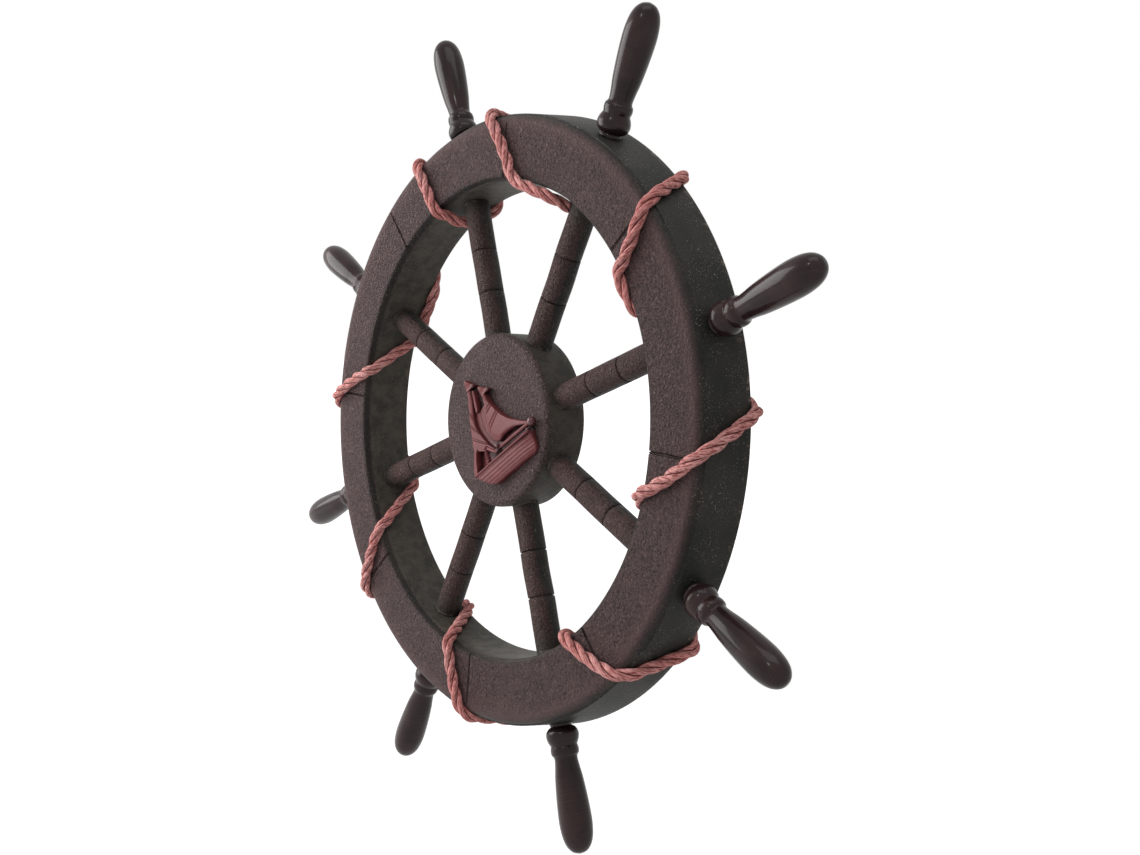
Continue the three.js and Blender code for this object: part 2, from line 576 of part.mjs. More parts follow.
// The ring hangs straight down from its hinge line, with its straight side through the knuckle.
function ringGeometry() {
  const half = RING_BAR_LENGTH / 2;
  const [across, down] = [half / Math.hypot(half, RING_DEPTH), RING_DEPTH / Math.hypot(half, RING_DEPTH)];
  const outline = new THREE.Path();
  outline.moveTo(half - RING_CORNER, 0);
  outline.quadraticCurveTo(half, 0, half - RING_CORNER * across, -RING_CORNER * down);
  outline.lineTo(RING_TIP_CORNER * across, RING_TIP_CORNER * down - RING_DEPTH);
  outline.quadraticCurveTo(0, -RING_DEPTH, -RING_TIP_CORNER * across, RING_TIP_CORNER * down - RING_DEPTH);
  outline.lineTo(RING_CORNER * across - half, -RING_CORNER * down);
  outline.quadraticCurveTo(-half, 0, RING_CORNER - half, 0);
  const points = outline.getPoints(5).map(({ x, y }) => new THREE.Vector3(x, 0, y));
  return tubeAlong(points, RING_WIRE_RADIUS, 8, true);
}

function screwGeometry() {
  const headTop = PLATE_THICKNESS + SCREW_HEAD_HEIGHT;
  const profile = [[0, screwTipY], [SCREW_RADIUS, screwTipY + SCREW_POINT], [SCREW_RADIUS, PLATE_THICKNESS]];
  for (const [radius, height] of screwHeadShares) {
    profile.push([SCREW_HEAD_RADIUS * radius, PLATE_THICKNESS + SCREW_HEAD_HEIGHT * height]);
  }
  const across = new THREE.BoxGeometry(SCREW_RECESS_LENGTH, 2 * SCREW_RECESS_DEPTH, SCREW_RECESS_WIDTH);
  const along = new THREE.BoxGeometry(SCREW_RECESS_WIDTH, 2 * SCREW_RECESS_DEPTH, SCREW_RECESS_LENGTH);
  across.translate(0, headTop, 0);
  along.translate(0, headTop, 0);
  return geometryOf(cutFrom(solidOf(turned(profile, 16)), [across, along]));
}

const emblemX = (share) => share * EMBLEM_LENGTH;
const emblemZ = (share) => (share - 0.5) * EMBLEM_HEIGHT;

// A flat-backed relief of an outline. Local Z is the height above the hub.
function relief(shares, height) {
  const outline = new THREE.Shape(shares.map(([x, z]) => new THREE.Vector2(emblemX(x), emblemZ(z))));
  return new THREE.ExtrudeGeometry(outline, { depth: height, bevelEnabled: false });
}

function railGeometry() {
  const [from, to] = railShares.map(([x, z]) => new THREE.Vector3(emblemX(x), emblemZ(z), RAIL_MIDDLE));
  const rod = new THREE.CylinderGeometry(RAIL_RADIUS, RAIL_RADIUS, from.distanceTo(to), 8);
  const direction = to.clone().sub(from).normalize();
  rod.applyQuaternion(new THREE.Quaternion().setFromUnitVectors(new THREE.Vector3(0, 1, 0), direction));
  return rod.translate((from.x + to.x) / 2, (from.y + to.y) / 2, RAIL_MIDDLE);
}

function knobGeometry([x, z], radius, middle) {
  return new THREE.SphereGeometry(radius, 10, 8).translate(emblemX(x), emblemZ(z), middle);
}

function plankLine(share) {
  const line = new THREE.BoxGeometry(2 * EMBLEM_LENGTH, PLANK_LINE_WIDTH, 2 * PLANK_LINE_DEPTH);
  return line.translate(0, emblemZ(share), HULL_RELIEF);
}

function emblemGeometry() {
  const mastKnobMiddle = PENNANT_RELIEF - MAST_KNOB_RADIUS;
  const forms = [
    relief(hullShares, HULL_RELIEF), relief(sternShares, STERN_RELIEF), relief(wellShares, WELL_RELIEF),
    relief(mainSailShares, SAIL_RELIEF), relief(innerSailShares, INNER_SAIL_RELIEF),
    relief(headSailShares, SAIL_RELIEF), relief(pennantShares, PENNANT_RELIEF),
    relief(smallPennantShares, PENNANT_RELIEF), railGeometry(),
    knobGeometry(bowKnobShares, BOW_KNOB_RADIUS, RAIL_MIDDLE),
    ...mastKnobShares.map((place) => knobGeometry(place, MAST_KNOB_RADIUS, mastKnobMiddle)),
  ];
  const ship = forms.map(solidOf).reduce((whole, form) => whole.add(form));
  const behind = new THREE.BoxGeometry(2 * EMBLEM_LENGTH, 2 * EMBLEM_HEIGHT, 2 * HULL_RELIEF);
  behind.translate(0, 0, -HULL_RELIEF);
  const geometry = geometryOf(cutFrom(ship, [behind, ...plankLineShares.map(plankLine)]));
  geometry.rotateX(RIGHT_ANGLE);
  geometry.rotateY(-THREE.MathUtils.degToRad(EMBLEM_TILT));
  return geometry;
}

function named(name, geometry, material) {
  const mesh = new THREE.Mesh(geometry, material);
  mesh.name = name;
  return mesh;
}

const wheel = new THREE.Group();
wheel.add(named('rim', rimGeometry(), paintedWood()));
wheel.add(named('hub', hubGeometry(), paintedWood()));

for (const index of armIndexes) {
  const spoke = named(`spoke_${index + 1}`, laidAlongRadius(spokeGeometry(), armAngle(index)), paintedWood());
  spoke.position.y = spokeY;
  const [place, lean] = handleSetting(index);
  const turnedHandle = laidAlongRadius(handleGeometry(), place + lean);
  const handle = named(`handle_${index + 1}`, turnedHandle, lacqueredWood());
  handle.position.set(handleSeat * Math.sin(place), rimMiddleY, handleSeat * Math.cos(place));
  wheel.add(spoke, handle);
}

const emblem = named('ship_emblem', emblemGeometry(), castResin());
emblem.position.set(EMBLEM_SHIFT_X, -HUB_THICKNESS, EMBLEM_SHIFT_Z);
wheel.add(emblem);

wheel.add(named('rope', tubeAlong(ropePoints, ropeRadius, ROPE_SIDES, false), cottonRope()));

stapleSeats.forEach((seat, index) => {
  const staple = named(`rope_staple_${index + 1}`, stapleGeometry(), zincSteel());
  staple.rotation.y = seat.turn;
  staple.position.set(seat.x, 0, seat.z);
  wheel.add(staple);
});

wheel.add(named('hanger_plate', plateGeometry(), zincSteel()));
const screw = named('hanger_screw', screwGeometry(), zincSteel());
screw.position.z = screwZ;
wheel.add(screw);
const ring = named('hanger_ring', ringGeometry(), zincSteel());
ring.position.set(0, hangerY, hangerAxisRadius);
wheel.add(ring);

export default wheel;
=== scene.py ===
import math

import bmesh
import bpy
from mathutils import Matrix, Vector, noise


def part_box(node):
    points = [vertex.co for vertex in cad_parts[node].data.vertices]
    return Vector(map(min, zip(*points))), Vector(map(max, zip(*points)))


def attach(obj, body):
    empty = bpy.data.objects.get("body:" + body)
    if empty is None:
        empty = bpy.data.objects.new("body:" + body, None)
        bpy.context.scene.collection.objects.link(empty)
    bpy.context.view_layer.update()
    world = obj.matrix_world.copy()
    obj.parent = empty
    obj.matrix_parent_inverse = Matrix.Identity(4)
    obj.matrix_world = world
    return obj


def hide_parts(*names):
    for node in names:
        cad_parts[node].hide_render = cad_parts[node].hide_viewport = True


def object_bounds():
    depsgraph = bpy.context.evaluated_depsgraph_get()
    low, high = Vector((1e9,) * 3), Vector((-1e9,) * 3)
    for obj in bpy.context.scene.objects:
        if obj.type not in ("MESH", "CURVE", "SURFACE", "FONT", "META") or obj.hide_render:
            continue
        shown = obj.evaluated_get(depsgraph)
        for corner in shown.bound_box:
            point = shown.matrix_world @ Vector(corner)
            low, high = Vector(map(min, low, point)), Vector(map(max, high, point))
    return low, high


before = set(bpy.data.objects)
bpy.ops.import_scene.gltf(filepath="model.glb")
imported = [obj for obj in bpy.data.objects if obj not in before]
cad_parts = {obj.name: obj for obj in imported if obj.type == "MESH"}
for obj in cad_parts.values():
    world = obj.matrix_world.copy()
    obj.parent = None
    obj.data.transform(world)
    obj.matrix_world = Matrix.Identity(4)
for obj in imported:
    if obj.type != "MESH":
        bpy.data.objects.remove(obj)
cad_low, cad_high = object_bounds()
MM = 0.001

# Rim: one thick ring of wood with a flat back and an outer wall that leans in towards the front. It is turned
# on a lathe, coated black-green all over and then sprayed brown from the front. A crease runs round each edge
# of its raised face, and eight lines are sawn across the face, as if the rim were joined from segments.
ARM_COUNT = 8
RIM_WIDTH = 38.3 * MM              # at the back
WALL_LEAN = 3.2 * MM               # how far the outer wall leans in, from the back to its crease
HOLE_LEAN = 1 * MM                 # the same of the inner wall
FACE_RISE = 3.9 * MM               # of the raised face above the creases
OUTER_SHOULDER = 6 * MM            # widths of the face's rounded edges, ledges included
INNER_SHOULDER = 2 * MM
LEDGE = 0.7 * MM                   # flat strip between a crease and its shoulder
FACE_MIDDLE = 142 * MM             # radius at which the sawn lines are measured
rim_low, rim_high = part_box("rim")
rim_outer = rim_high.x
rim_inner = rim_outer - RIM_WIDTH
face_y = rim_low.y
crease_y = face_y + FACE_RISE
outer_crease = rim_outer - WALL_LEAN
inner_crease = rim_inner + HOLE_LEAN
face_outer = outer_crease - OUTER_SHOULDER
face_inner = inner_crease + INNER_SHOULDER
EDGE_ROUNDING = 0.5 * MM
LIP = 0.12 * MM                    # width and height of the thin broken edge outside a crease
LIP_HEIGHT = 0.2 * MM
FOOT_ROUNDING = 0.45 * MM          # of the hollow corner between a crease's ledge and the shoulder of the face
SAW_REACH = 1.25 * MM              # half the width that a sawn line disturbs
sawn_strokes = [(-0.45, 0.24, 1.2), (0.42, 0.16, 0.9)]   # place across, half width and depth, in millimetres
STROKE_WANDER = 0.16               # how far a sawn stroke strays, in millimetres
WALL_SWELL = 0.12 * MM             # height and length of the slow waves that hand sanding leaves on both walls
WALL_SWELL_LENGTH = 22 * MM


def rounding(corner, start, end, steps=4):
    """Points of a quarter turn about a corner's centre, from one offset to the other."""
    turns = [math.pi / 2 * step / steps for step in range(steps + 1)]
    return [(corner[0] + start[0] * math.cos(t) + end[0] * math.sin(t),
             corner[1] + start[1] * math.cos(t) + end[1] * math.sin(t)) for t in turns]


def stretch(start, end, steps):
    """Points between two corners, without the corners."""
    return [(start[0] + (end[0] - start[0]) * step / steps, start[1] + (end[1] - start[1]) * step / steps)
            for step in range(1, steps)]


def rim_section():
    """The rim's section as (radius, y), from the back round the outside to the front and the inner wall."""
    outer_foot, inner_foot = outer_crease - LEDGE, inner_crease + LEDGE
    back_corner = rounding((rim_outer - 2 * EDGE_ROUNDING, -EDGE_ROUNDING), (0, EDGE_ROUNDING), (EDGE_ROUNDING, 0))
    wall_top = (outer_crease + 0.1 * MM, crease_y + LIP_HEIGHT)
    outer = back_corner + stretch(back_corner[-1], wall_top, 7) + [wall_top, (outer_crease - LIP, crease_y)]
    outer += rounding((outer_foot + 0.25 * MM, crease_y - FOOT_ROUNDING), (0, FOOT_ROUNDING), (-FOOT_ROUNDING, 0), 3)
    shoulder = rounding((face_outer, crease_y), (outer_foot - 0.2 * MM - face_outer, 0), (0, face_y - crease_y), 8)[2:]
    inner_shoulder = rounding((face_inner, crease_y), (0, face_y - crease_y), (inner_foot - face_inner, 0), 6)[:-2]
    inner = rounding((inner_foot - FOOT_ROUNDING, crease_y - FOOT_ROUNDING), (FOOT_ROUNDING, 0), (0, FOOT_ROUNDING), 3)
    inner += [(inner_crease + LIP / 2, crease_y), (inner_crease - 0.05 * MM, crease_y + LIP_HEIGHT)]
    inner_back = rounding((rim_inner + EDGE_ROUNDING, -EDGE_ROUNDING), (-EDGE_ROUNDING, 0), (0, EDGE_ROUNDING))
    back = [inner_back[-1], back_corner[0]]
    return (outer + shoulder + stretch(shoulder[-1], inner_shoulder[0], 14) + inner_shoulder + inner
            + stretch(inner[-1], inner_back[0], 7) + inner_back + stretch(*back, 3))


def closed_up(shape):
    """Merges a shape's doubled points, caps what is still open and turns its faces outward."""
    bmesh.ops.remove_doubles(shape, verts=shape.verts, dist=1e-6)
    bmesh.ops.holes_fill(shape, edges=[edge for edge in shape.edges if edge.is_boundary])
    bmesh.ops.recalc_face_normals(shape, faces=shape.faces)
    return shape


rim_shape = bmesh.new()
ring = [rim_shape.verts.new((0, y, radius)) for radius, y in rim_section()]
swept = ring + [rim_shape.edges.new(pair) for pair in zip(ring, ring[1:] + ring[:1])]
saw_turn = 2 * SAW_REACH / FACE_MIDDLE
bmesh.ops.rotate(rim_shape, verts=ring, matrix=Matrix.Rotation(-saw_turn / 2, 3, "Y"))
for arm in range(ARM_COUNT):
    for turn, steps in ((saw_turn, 14), (2 * math.pi / ARM_COUNT - saw_turn, 46)):
        sweep = bmesh.ops.spin(rim_shape, geom=swept, axis=(0, 1, 0), cent=(0, 0, 0), angle=turn, steps=steps)
        swept = sweep["geom_last"]
for vert in closed_up(rim_shape).verts:
    radius = math.hypot(vert.co.x, vert.co.z)
    angle = math.atan2(vert.co.x, vert.co.z)
    nearest = round(angle * ARM_COUNT / (2 * math.pi)) * 2 * math.pi / ARM_COUNT
    across = (angle - nearest) * FACE_MIDDLE
    if abs(across) <= SAW_REACH * 1.001:
        straight = nearest + across / radius
        vert.co.x, vert.co.z = radius * math.sin(straight), radius * math.cos(straight)
        if vert.co.y < crease_y - 2 * MM and radius < outer_crease - 5 * MM:
            for place, half_width, depth in sawn_strokes:
                wander = STROKE_WANDER * noise.noise(Vector((place * 9, nearest * 5, radius * 90)))
                fade = 1 - max(0, (radius - face_outer + 7 * MM) / (9 * MM)) if place > 0 else 1
                share = math.exp(-((across / MM - place - wander) / half_width) ** 2)
                vert.co.y += depth * MM * share * max(fade, 0)
    if vert.co.y < -1 * MM:
        swell = WALL_SWELL * noise.noise(vert.co / WALL_SWELL_LENGTH) if face_y + 0.3 * MM < vert.co.y else 0
        vert.co.x += swell * math.sin(angle)
        vert.co.z += swell * math.cos(angle)


def node(tree, kind, inputs=None, **settings):
    """Adds a shader node, sets it up, and feeds its inputs with values or with other nodes' outputs."""
    made = tree.nodes.new("ShaderNode" + kind)
    for key, value in settings.items():
        setattr(made, key, value)
    for socket, value in (inputs or {}).items():
        if isinstance(value, bpy.types.NodeSocket):
            tree.links.new(value, made.inputs[socket])
        else:
            made.inputs[socket].default_value = value
    return made


def math_of(tree, operation, *values):
    """The result of one operation on numbers."""
    return node(tree, "Math", dict(enumerate(values)), operation=operation).outputs[0]


def plus(tree, first, second):
    """The sum of two numbers."""
    return math_of(tree, "ADD", first, second)


def times(tree, first, second):
    """The product of two numbers."""
    return math_of(tree, "MULTIPLY", first, second)


def ramp(tree, value, low, high, to_low=0.0, to_high=1.0):
    """A smooth step of a number from to_low to to_high, as it goes from low to high."""
    return node(tree, "MapRange", {0: value, 1: low, 2: high, 3: to_low, 4: to_high},
                interpolation_type="SMOOTHSTEP").outputs[0]


def clouds(tree, place, size, detail=3.0, rough=0.5, twist=0.0):
    """Soft noise about 0.5 with blobs of a size in metres."""
    return node(tree, "TexNoise", {"Vector": place, "Scale": 1 / size, "Detail": detail, "Roughness": rough,
                                   "Distortion": twist}).outputs[0]


def ragged(tree, place, size, width):
    """A number that wanders about 0 over a width, for the boundary of a sprayed coat."""
    return times(tree, math_of(tree, "SUBTRACT", clouds(tree, place, size, 4.0), 0.5), width)


def tone(red, green, blue):
    """A colour as it is seen, from 0 to 255, for a shader."""
    return [((c / 255 + 0.055) / 1.055) ** 2.4 if c > 10 else c / 255 / 12.92 for c in (red, green, blue)] + [1.0]


def mixed(tree, share, first, second):
    """One colour over another, by a share of the second."""
    return node(tree, "Mix", {0: share, 6: first, 7: second}, data_type="RGBA").outputs[2]


def new_material(name, roughness, **sockets):
    """A material with a shader, and its shader and tree."""
    material = bpy.data.materials.new(name)
    material.use_nodes = True
    tree = material.node_tree
    shader = tree.nodes["Principled BSDF"]
    shader.inputs["Roughness"].default_value = roughness
    for socket, value in sockets.items():
        shader.inputs[socket.replace("_", " ")].default_value = value
    return material, tree, shader


def bumped(tree, shader, height, distance, strength=1.0):
    """Gives a shader's surface a relief of a depth in metres."""
    relief = node(tree, "Bump", {"Strength": strength, "Distance": distance, "Height": height})
    tree.links.new(relief.outputs[0], shader.inputs["Normal"])


def wheel_places(tree):
    """Where a point of the wheel is: its place, the parts of that, its distance from the axis, and how much it faces
    the front."""
    coordinates = node(tree, "TexCoord")
    place = coordinates.outputs["Object"]
    parts = node(tree, "SeparateXYZ", {0: place})
    squares = [math_of(tree, "POWER", parts.outputs[axis], 2.0) for axis in (0, 2)]
    radius = math_of(tree, "SQRT", plus(tree, *squares))
    backward = node(tree, "SeparateXYZ", {0: coordinates.outputs["Normal"]}).outputs[1]
    return place, parts, radius, times(tree, backward, -1.0)


def painted(name, cover_of, face_tone=(91, 73, 72), wrinkle=1.0, glue_at=(), smooth_from=None, dusty_of=None):
    """Black-green base paint with specks and scuffs, under a wrinkled brown coat where cover_of says, which is smoother
    and redder beyond smooth_from and carries painted shade in the hollows of its wrinkles and pale flecks of painted
    highlight, dust where dusty_of says, and a thin line of dried glue at each distance in glue_at."""
    material, tree, shader = new_material(name, 0.55, Specular_IOR_Level=0.14)
    place, parts, radius, facing = wheel_places(tree)
    cover = cover_of(tree, place, parts, radius, facing)
    drift = clouds(tree, place, 26 * MM, 4.0)
    base = mixed(tree, ramp(tree, drift, 0.35, 0.68), tone(35, 36, 33), tone(56, 53, 49))
    grain = clouds(tree, place, 0.9 * MM, 4.0, 0.6)
    base = mixed(tree, ramp(tree, grain, 0.35, 0.65, 0.4, 0.0), base, tone(20, 20, 18))
    crowd = ramp(tree, clouds(tree, place, 12 * MM, 4.0), 0.4, 0.64, 0.15, 1.0)
    specks = ramp(tree, clouds(tree, place, 0.75 * MM, 1.5), 0.62, 0.70, 0.0, 0.8)
    base = mixed(tree, times(tree, specks, crowd), base, tone(132, 128, 114))
    depth = plus(tree, parts.outputs[1], times(tree, clouds(tree, place, 9 * MM), 9 * MM))
    scuffs = times(tree, ramp(tree, depth, 0.0, 4 * MM), ramp(tree, clouds(tree, place, 4 * MM, 5.0, 0.7), 0.54, 0.62))
    scuffs = times(tree, scuffs, ramp(tree, facing, -0.98, -0.8, 0.25, 1.0))
    base = mixed(tree, times(tree, scuffs, 0.6), base, tone(140, 122, 108))
    if dusty_of:
        settled = ramp(tree, clouds(tree, place, 7 * MM, 5.0, 0.65), 0.35, 0.65, 0.35, 1.0)
        base = mixed(tree, times(tree, dusty_of(tree, radius), settled), base, tone(92, 87, 79))
    peel = clouds(tree, place, 1.5 * MM, 3.5, 0.64, 0.4)
    fading = ramp(tree, clouds(tree, place, 14 * MM), 0.3, 0.75)
    coat = mixed(tree, fading, tone(*face_tone), tone(*(c * 1.1 for c in face_tone)))
    # Painted shade: the coat turns dark brown where the wrinkles' noise is low, in their hollows.
    pit_shade = ramp(tree, peel, 0.36, 0.45, 0.95 * min(wrinkle, 1), 0.0)
    coat = mixed(tree, pit_shade, coat, tone(*(c * 0.38 for c in face_tone)))
    # Painted highlights: pale flecks strewn at random over the coat, in place of the small highlights of its wrinkles.
    fleck_highlights = ramp(tree, clouds(tree, place, 0.9 * MM, 2.0), 0.55, 0.64, 0.0, 0.65 * min(wrinkle, 1))
    coat = mixed(tree, fleck_highlights, coat, tone(*(min(c * 1.45, 170) for c in face_tone)))
    relief = times(tree, cover, wrinkle)
    if smooth_from:
        edge = plus(tree, radius, times(tree, clouds(tree, place, 5 * MM, 3.0), 6 * MM))
        smoother = ramp(tree, edge, smooth_from, smooth_from + 9 * MM)
        coat = mixed(tree, times(tree, smoother, 0.7), coat, tone(82, 62, 62))
        relief = times(tree, relief, math_of(tree, "SUBTRACT", 1.0, times(tree, smoother, 0.75)))
    painted_tone = mixed(tree, cover, base, coat)
    for distance in glue_at:
        line = plus(tree, distance - 0.5 * MM, times(tree, clouds(tree, place, 3 * MM), 1 * MM))
        off = math_of(tree, "ABSOLUTE", math_of(tree, "SUBTRACT", radius, line))
        patchy = ramp(tree, clouds(tree, place, 5 * MM, 4.0), 0.42, 0.6, 0.0, 0.7)
        thin = times(tree, ramp(tree, off, 0.2 * MM, 0.7 * MM, 1.0, 0.0), patchy)
        painted_tone = mixed(tree, thin, painted_tone, tone(118, 112, 102))
    tree.links.new(painted_tone, shader.inputs["Base Color"])
    crests = ramp(tree, peel, 0.34, 0.66)
    bumped(tree, shader, plus(tree, times(tree, crests, relief), times(tree, grain, 0.06)), 1.8 * MM)
    return material


def solid(name, shape, material, crease=40):
    """Makes a shape an object, with creases where it bends more than so many degrees."""
    mesh = bpy.data.meshes.new(name)
    shape.to_mesh(mesh)
    shape.free()
    mesh.materials.append(material)
    mesh.shade_smooth()
    mesh.set_sharp_from_angle(angle=math.radians(crease))
    made = bpy.data.objects.new(name, mesh)
    bpy.context.collection.objects.link(made)
    return made


def piece(name, shape, material, slot, *replaced, crease=40, body="wheel"):
    """Makes a shape a named piece of the wheel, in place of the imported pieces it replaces."""
    made = solid(name, shape, material, crease)
    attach(made, body)
    if replaced:
        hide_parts(*replaced)


def rim_cover(tree, place, parts, radius, facing):
    """The brown coat lies on the rim's face, and thins out at both creases."""
    edge = plus(tree, radius, ragged(tree, place, 3 * MM, 2.5 * MM))
    outer = ramp(tree, edge, face_outer + 1 * MM, face_outer + 6 * MM, 1.0, 0.0)
    inner = ramp(tree, edge, face_inner - 1.5 * MM, face_inner + 3 * MM, 0.25, 1.0)
    return times(tree, times(tree, outer, inner), ramp(tree, facing, 0.05, 0.7))


def rim_dust(tree, radius):
    """Pale dust lies on the inner wall."""
    return ramp(tree, radius, rim_inner + 1 * MM, rim_inner + 2 * MM, 0.75, 0.0)


rim_paint = painted("rim_paint", rim_cover, smooth_from=face_outer - 4 * MM, dusty_of=rim_dust)
piece("rim_turned", rim_shape, rim_paint, "painted_wood", "rim")

# Hub: one thick disc of the same wood and paint, with a rounded front edge. The spokes are glued into eight
# sockets in its side.
hub_low, hub_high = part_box("hub")
hub_radius, hub_face = hub_high.x, hub_low.y
HUB_ROUNDING = 4 * MM


def lathe(outline, steps):
    """A closed shape, turned about the Z axis from an outline of (radius, height)."""
    shape = bmesh.new()
    points = [shape.verts.new((radius, 0, height)) for radius, height in outline]
    edges = [shape.edges.new(pair) for pair in zip(points, points[1:])]
    bmesh.ops.spin(shape, geom=points + edges, axis=(0, 0, 1), cent=(0, 0, 0), angle=2 * math.pi, steps=steps,
                   use_merge=True)
    return closed_up(shape)


front_edge = rounding((hub_radius - HUB_ROUNDING, -hub_face - HUB_ROUNDING), (HUB_ROUNDING, 0), (0, HUB_ROUNDING), 8)
back_edge = rounding((hub_radius - EDGE_ROUNDING, EDGE_ROUNDING), (0, -EDGE_ROUNDING), (EDGE_ROUNDING, 0), 3)
hub_shape = lathe([(0, 0), *back_edge, *stretch(back_edge[-1], front_edge[0], 6), *front_edge,
                   *stretch(front_edge[-1], (0, -hub_face), 9), (0, -hub_face)], 128)
bmesh.ops.rotate(hub_shape, verts=hub_shape.verts, matrix=Matrix.Rotation(math.pi / 2, 3, "X"))


def hub_cover(tree, place, parts, radius, facing):
    """The brown coat lies on the hub's face and thins out over its rounded edge."""
    return ramp(tree, plus(tree, facing, ragged(tree, place, 3 * MM, 0.5)), 0.0, 0.9)


def hub_dust(tree, radius):
    """Pale dust lies on the hub's side."""
    return ramp(tree, radius, hub_radius - 2 * MM, hub_radius - 1 * MM, 0.0, 0.6)


hub_paint = painted("hub_paint", hub_cover, (101, 84, 83), dusty_of=hub_dust)
piece("hub_turned", hub_shape, hub_paint, "painted_wood", "hub")

# Spokes: eight turned rods of the same wood with two thin grooves each, glued into hand-drilled sockets of the
# hub and the rim, so that some stand a millimetre aside. The brown coat is sprayed on afterwards and leaves their
# backs and both roots dark.
SPOKE_RADIUS = 7.0 * MM
SPOKE_TENON = 9 * MM
SPOKE_WANDER = 0.25 * MM           # how far a spoke bends out of true, and the length of its bends
SPOKE_BENDS = 18 * MM
GROOVE_WIDTH = 1.0 * MM
groove_profile = [                 # place across the groove as a share of its width, and depth
    (-0.6, 0), (-0.4, 0.15 * MM), (-0.1, 0.8 * MM), (0.1, 0.8 * MM), (0.4, 0.15 * MM), (0.6, 0)]
spoke_shifts = (1.3, 1.2, 0.6, 0.4, 0.5, -0.3, 0, 0.7)   # of each spoke sideways, in millimetres
spoke_y = hub_face / 2
groove_places = [hub_radius + (rim_inner - hub_radius) * share for share in (0.324, 0.633)]


def along_radius(shape, angle, y):
    """Lays a shape that stands along Z along the radius at an angle of the wheel."""
    bmesh.ops.rotate(shape, verts=shape.verts, matrix=Matrix.Rotation(angle, 3, "Y"))
    bmesh.ops.translate(shape, verts=shape.verts, vec=(0, y, 0))


def spoke_cover(tree, place, parts, radius, facing):
    """The brown coat lies on the spokes' front, with a ragged boundary, and hardly reaches their roots."""
    stretched = node(tree, "CombineXYZ", {0: math_of(tree, "DIVIDE", radius, 16 * MM), 1: times(tree, facing, 4.0),
                                          2: math_of(tree, "DIVIDE", parts.outputs[0], 60 * MM)}).outputs[0]
    streaks = clouds(tree, stretched, 1.0, 4.0)
    drift = plus(tree, ragged(tree, place, 4 * MM, 0.9),
                 times(tree, math_of(tree, "SUBTRACT", streaks, 0.55), 1.6))
    front = ramp(tree, plus(tree, facing, drift), 0.0, 0.55)
    hub_root = ramp(tree, plus(tree, radius, times(tree, drift, 3 * MM)),
                    hub_radius + 1 * MM, hub_radius + 7 * MM, 0.3, 1.0)
    rim_root = ramp(tree, radius, rim_inner - 16 * MM, rim_inner - 2 * MM, 1.0, 0.15)
    return times(tree, front, times(tree, hub_root, rim_root))


spoke_paint = painted("spoke_paint", spoke_cover, (88, 70, 67), 0.7, (hub_radius + 0.6 * MM, rim_inner - 0.6 * MM))
for arm, shift in enumerate(spoke_shifts):
    outline = [(0, hub_radius - SPOKE_TENON)]
    corners = [(SPOKE_RADIUS, hub_radius - SPOKE_TENON)]
    for place in groove_places:
        corners += [(SPOKE_RADIUS - depth, place + share * GROOVE_WIDTH) for share, depth in groove_profile]
    corners.append((SPOKE_RADIUS, rim_inner + SPOKE_TENON))
    for here, there in zip(corners, corners[1:]):
        outline += [here, *stretch(here, there, 9 if there[1] - here[1] > 5 * MM else 1)]
    outline += [corners[-1], (0, rim_inner + SPOKE_TENON)]
    spoke_shape = lathe(outline, 40)
    for vert in spoke_shape.verts:
        seed = Vector((arm * 3.7, 0, vert.co.z / SPOKE_BENDS))
        vert.co.x += shift * MM + SPOKE_WANDER * noise.noise(seed)
        vert.co.y += SPOKE_WANDER * noise.noise(seed + Vector((11, 0, 0)))
    along_radius(spoke_shape, (arm + 0.5) * 2 * math.pi / ARM_COUNT, spoke_y)
    piece(f"spoke_turned_{arm + 1}", spoke_shape, spoke_paint, "painted_wood", f"spoke_{arm + 1}", crease=50)

# Handles: eight turned handles with a bead, a collar and a swelling grip, stained dark brown and dipped in
# glossy lacquer. Each is glued into the rim's outer wall by hand, so none stands quite straight.
HANDLE_LENGTH = 63.05 * MM
HANDLE_RADIUS = 8.41 * MM          # of the grip where it is thickest
TENON_RADIUS = 4.4 * MM
TENON_LENGTH = 14 * MM
HANDLE_SEAT = 161.87 * MM          # from the wheel's axis to where the handle sits on the rim
handle_y = face_y / 2
handle_flange = [(5.8, -1.2), (5.7, -0.5), (5.4, 0.1)]   # radius and height at the seat, in millimetres
handle_shares = [                  # place along the handle and radius, as shares
    (0.000, 0.62), (0.018, 0.82), (0.045, 0.96), (0.078, 1.00), (0.112, 0.95), (0.140, 0.86), (0.153, 0.81),
    (0.166, 0.83), (0.192, 0.86), (0.222, 0.83), (0.238, 0.74), (0.262, 0.700), (0.330, 0.755), (0.416, 0.850),
    (0.573, 0.950), (0.730, 1.000), (0.820, 0.965), (0.890, 0.870), (0.945, 0.690), (0.984, 0.400), (1.0, 0.0)]
# Each pair is one handle, clockwise: how far round the rim it stands from its spoke, and how far it leans, both in
# degrees.
handle_places = [(1.8, -5), (0.5, -4.3), (0, 1), (-0.5, 1.8), (-2, 1.9), (0.2, -3.1), (0, 0.3), (1.3, -5.3)]


def smooth_curve(points, steps, closed=False):
    """Points of a smooth curve through given points."""
    count = len(points)
    curve = []
    for i in range(count if closed else count - 1):
        a, b, c, d = (points[(i + k) % count if closed else min(max(i + k, 0), count - 1)] for k in (-1, 0, 1, 2))
        for step in range(steps):
            t = step / steps
            curve.append(tuple(0.5 * (2 * q + (r - p) * t + (2 * p - 5 * q + 4 * r - s) * t ** 2
                                      + (3 * q - p - 3 * r + s) * t ** 3) for p, q, r, s in zip(a, b, c, d)))
    return curve if closed else curve + [tuple(points[-1])]


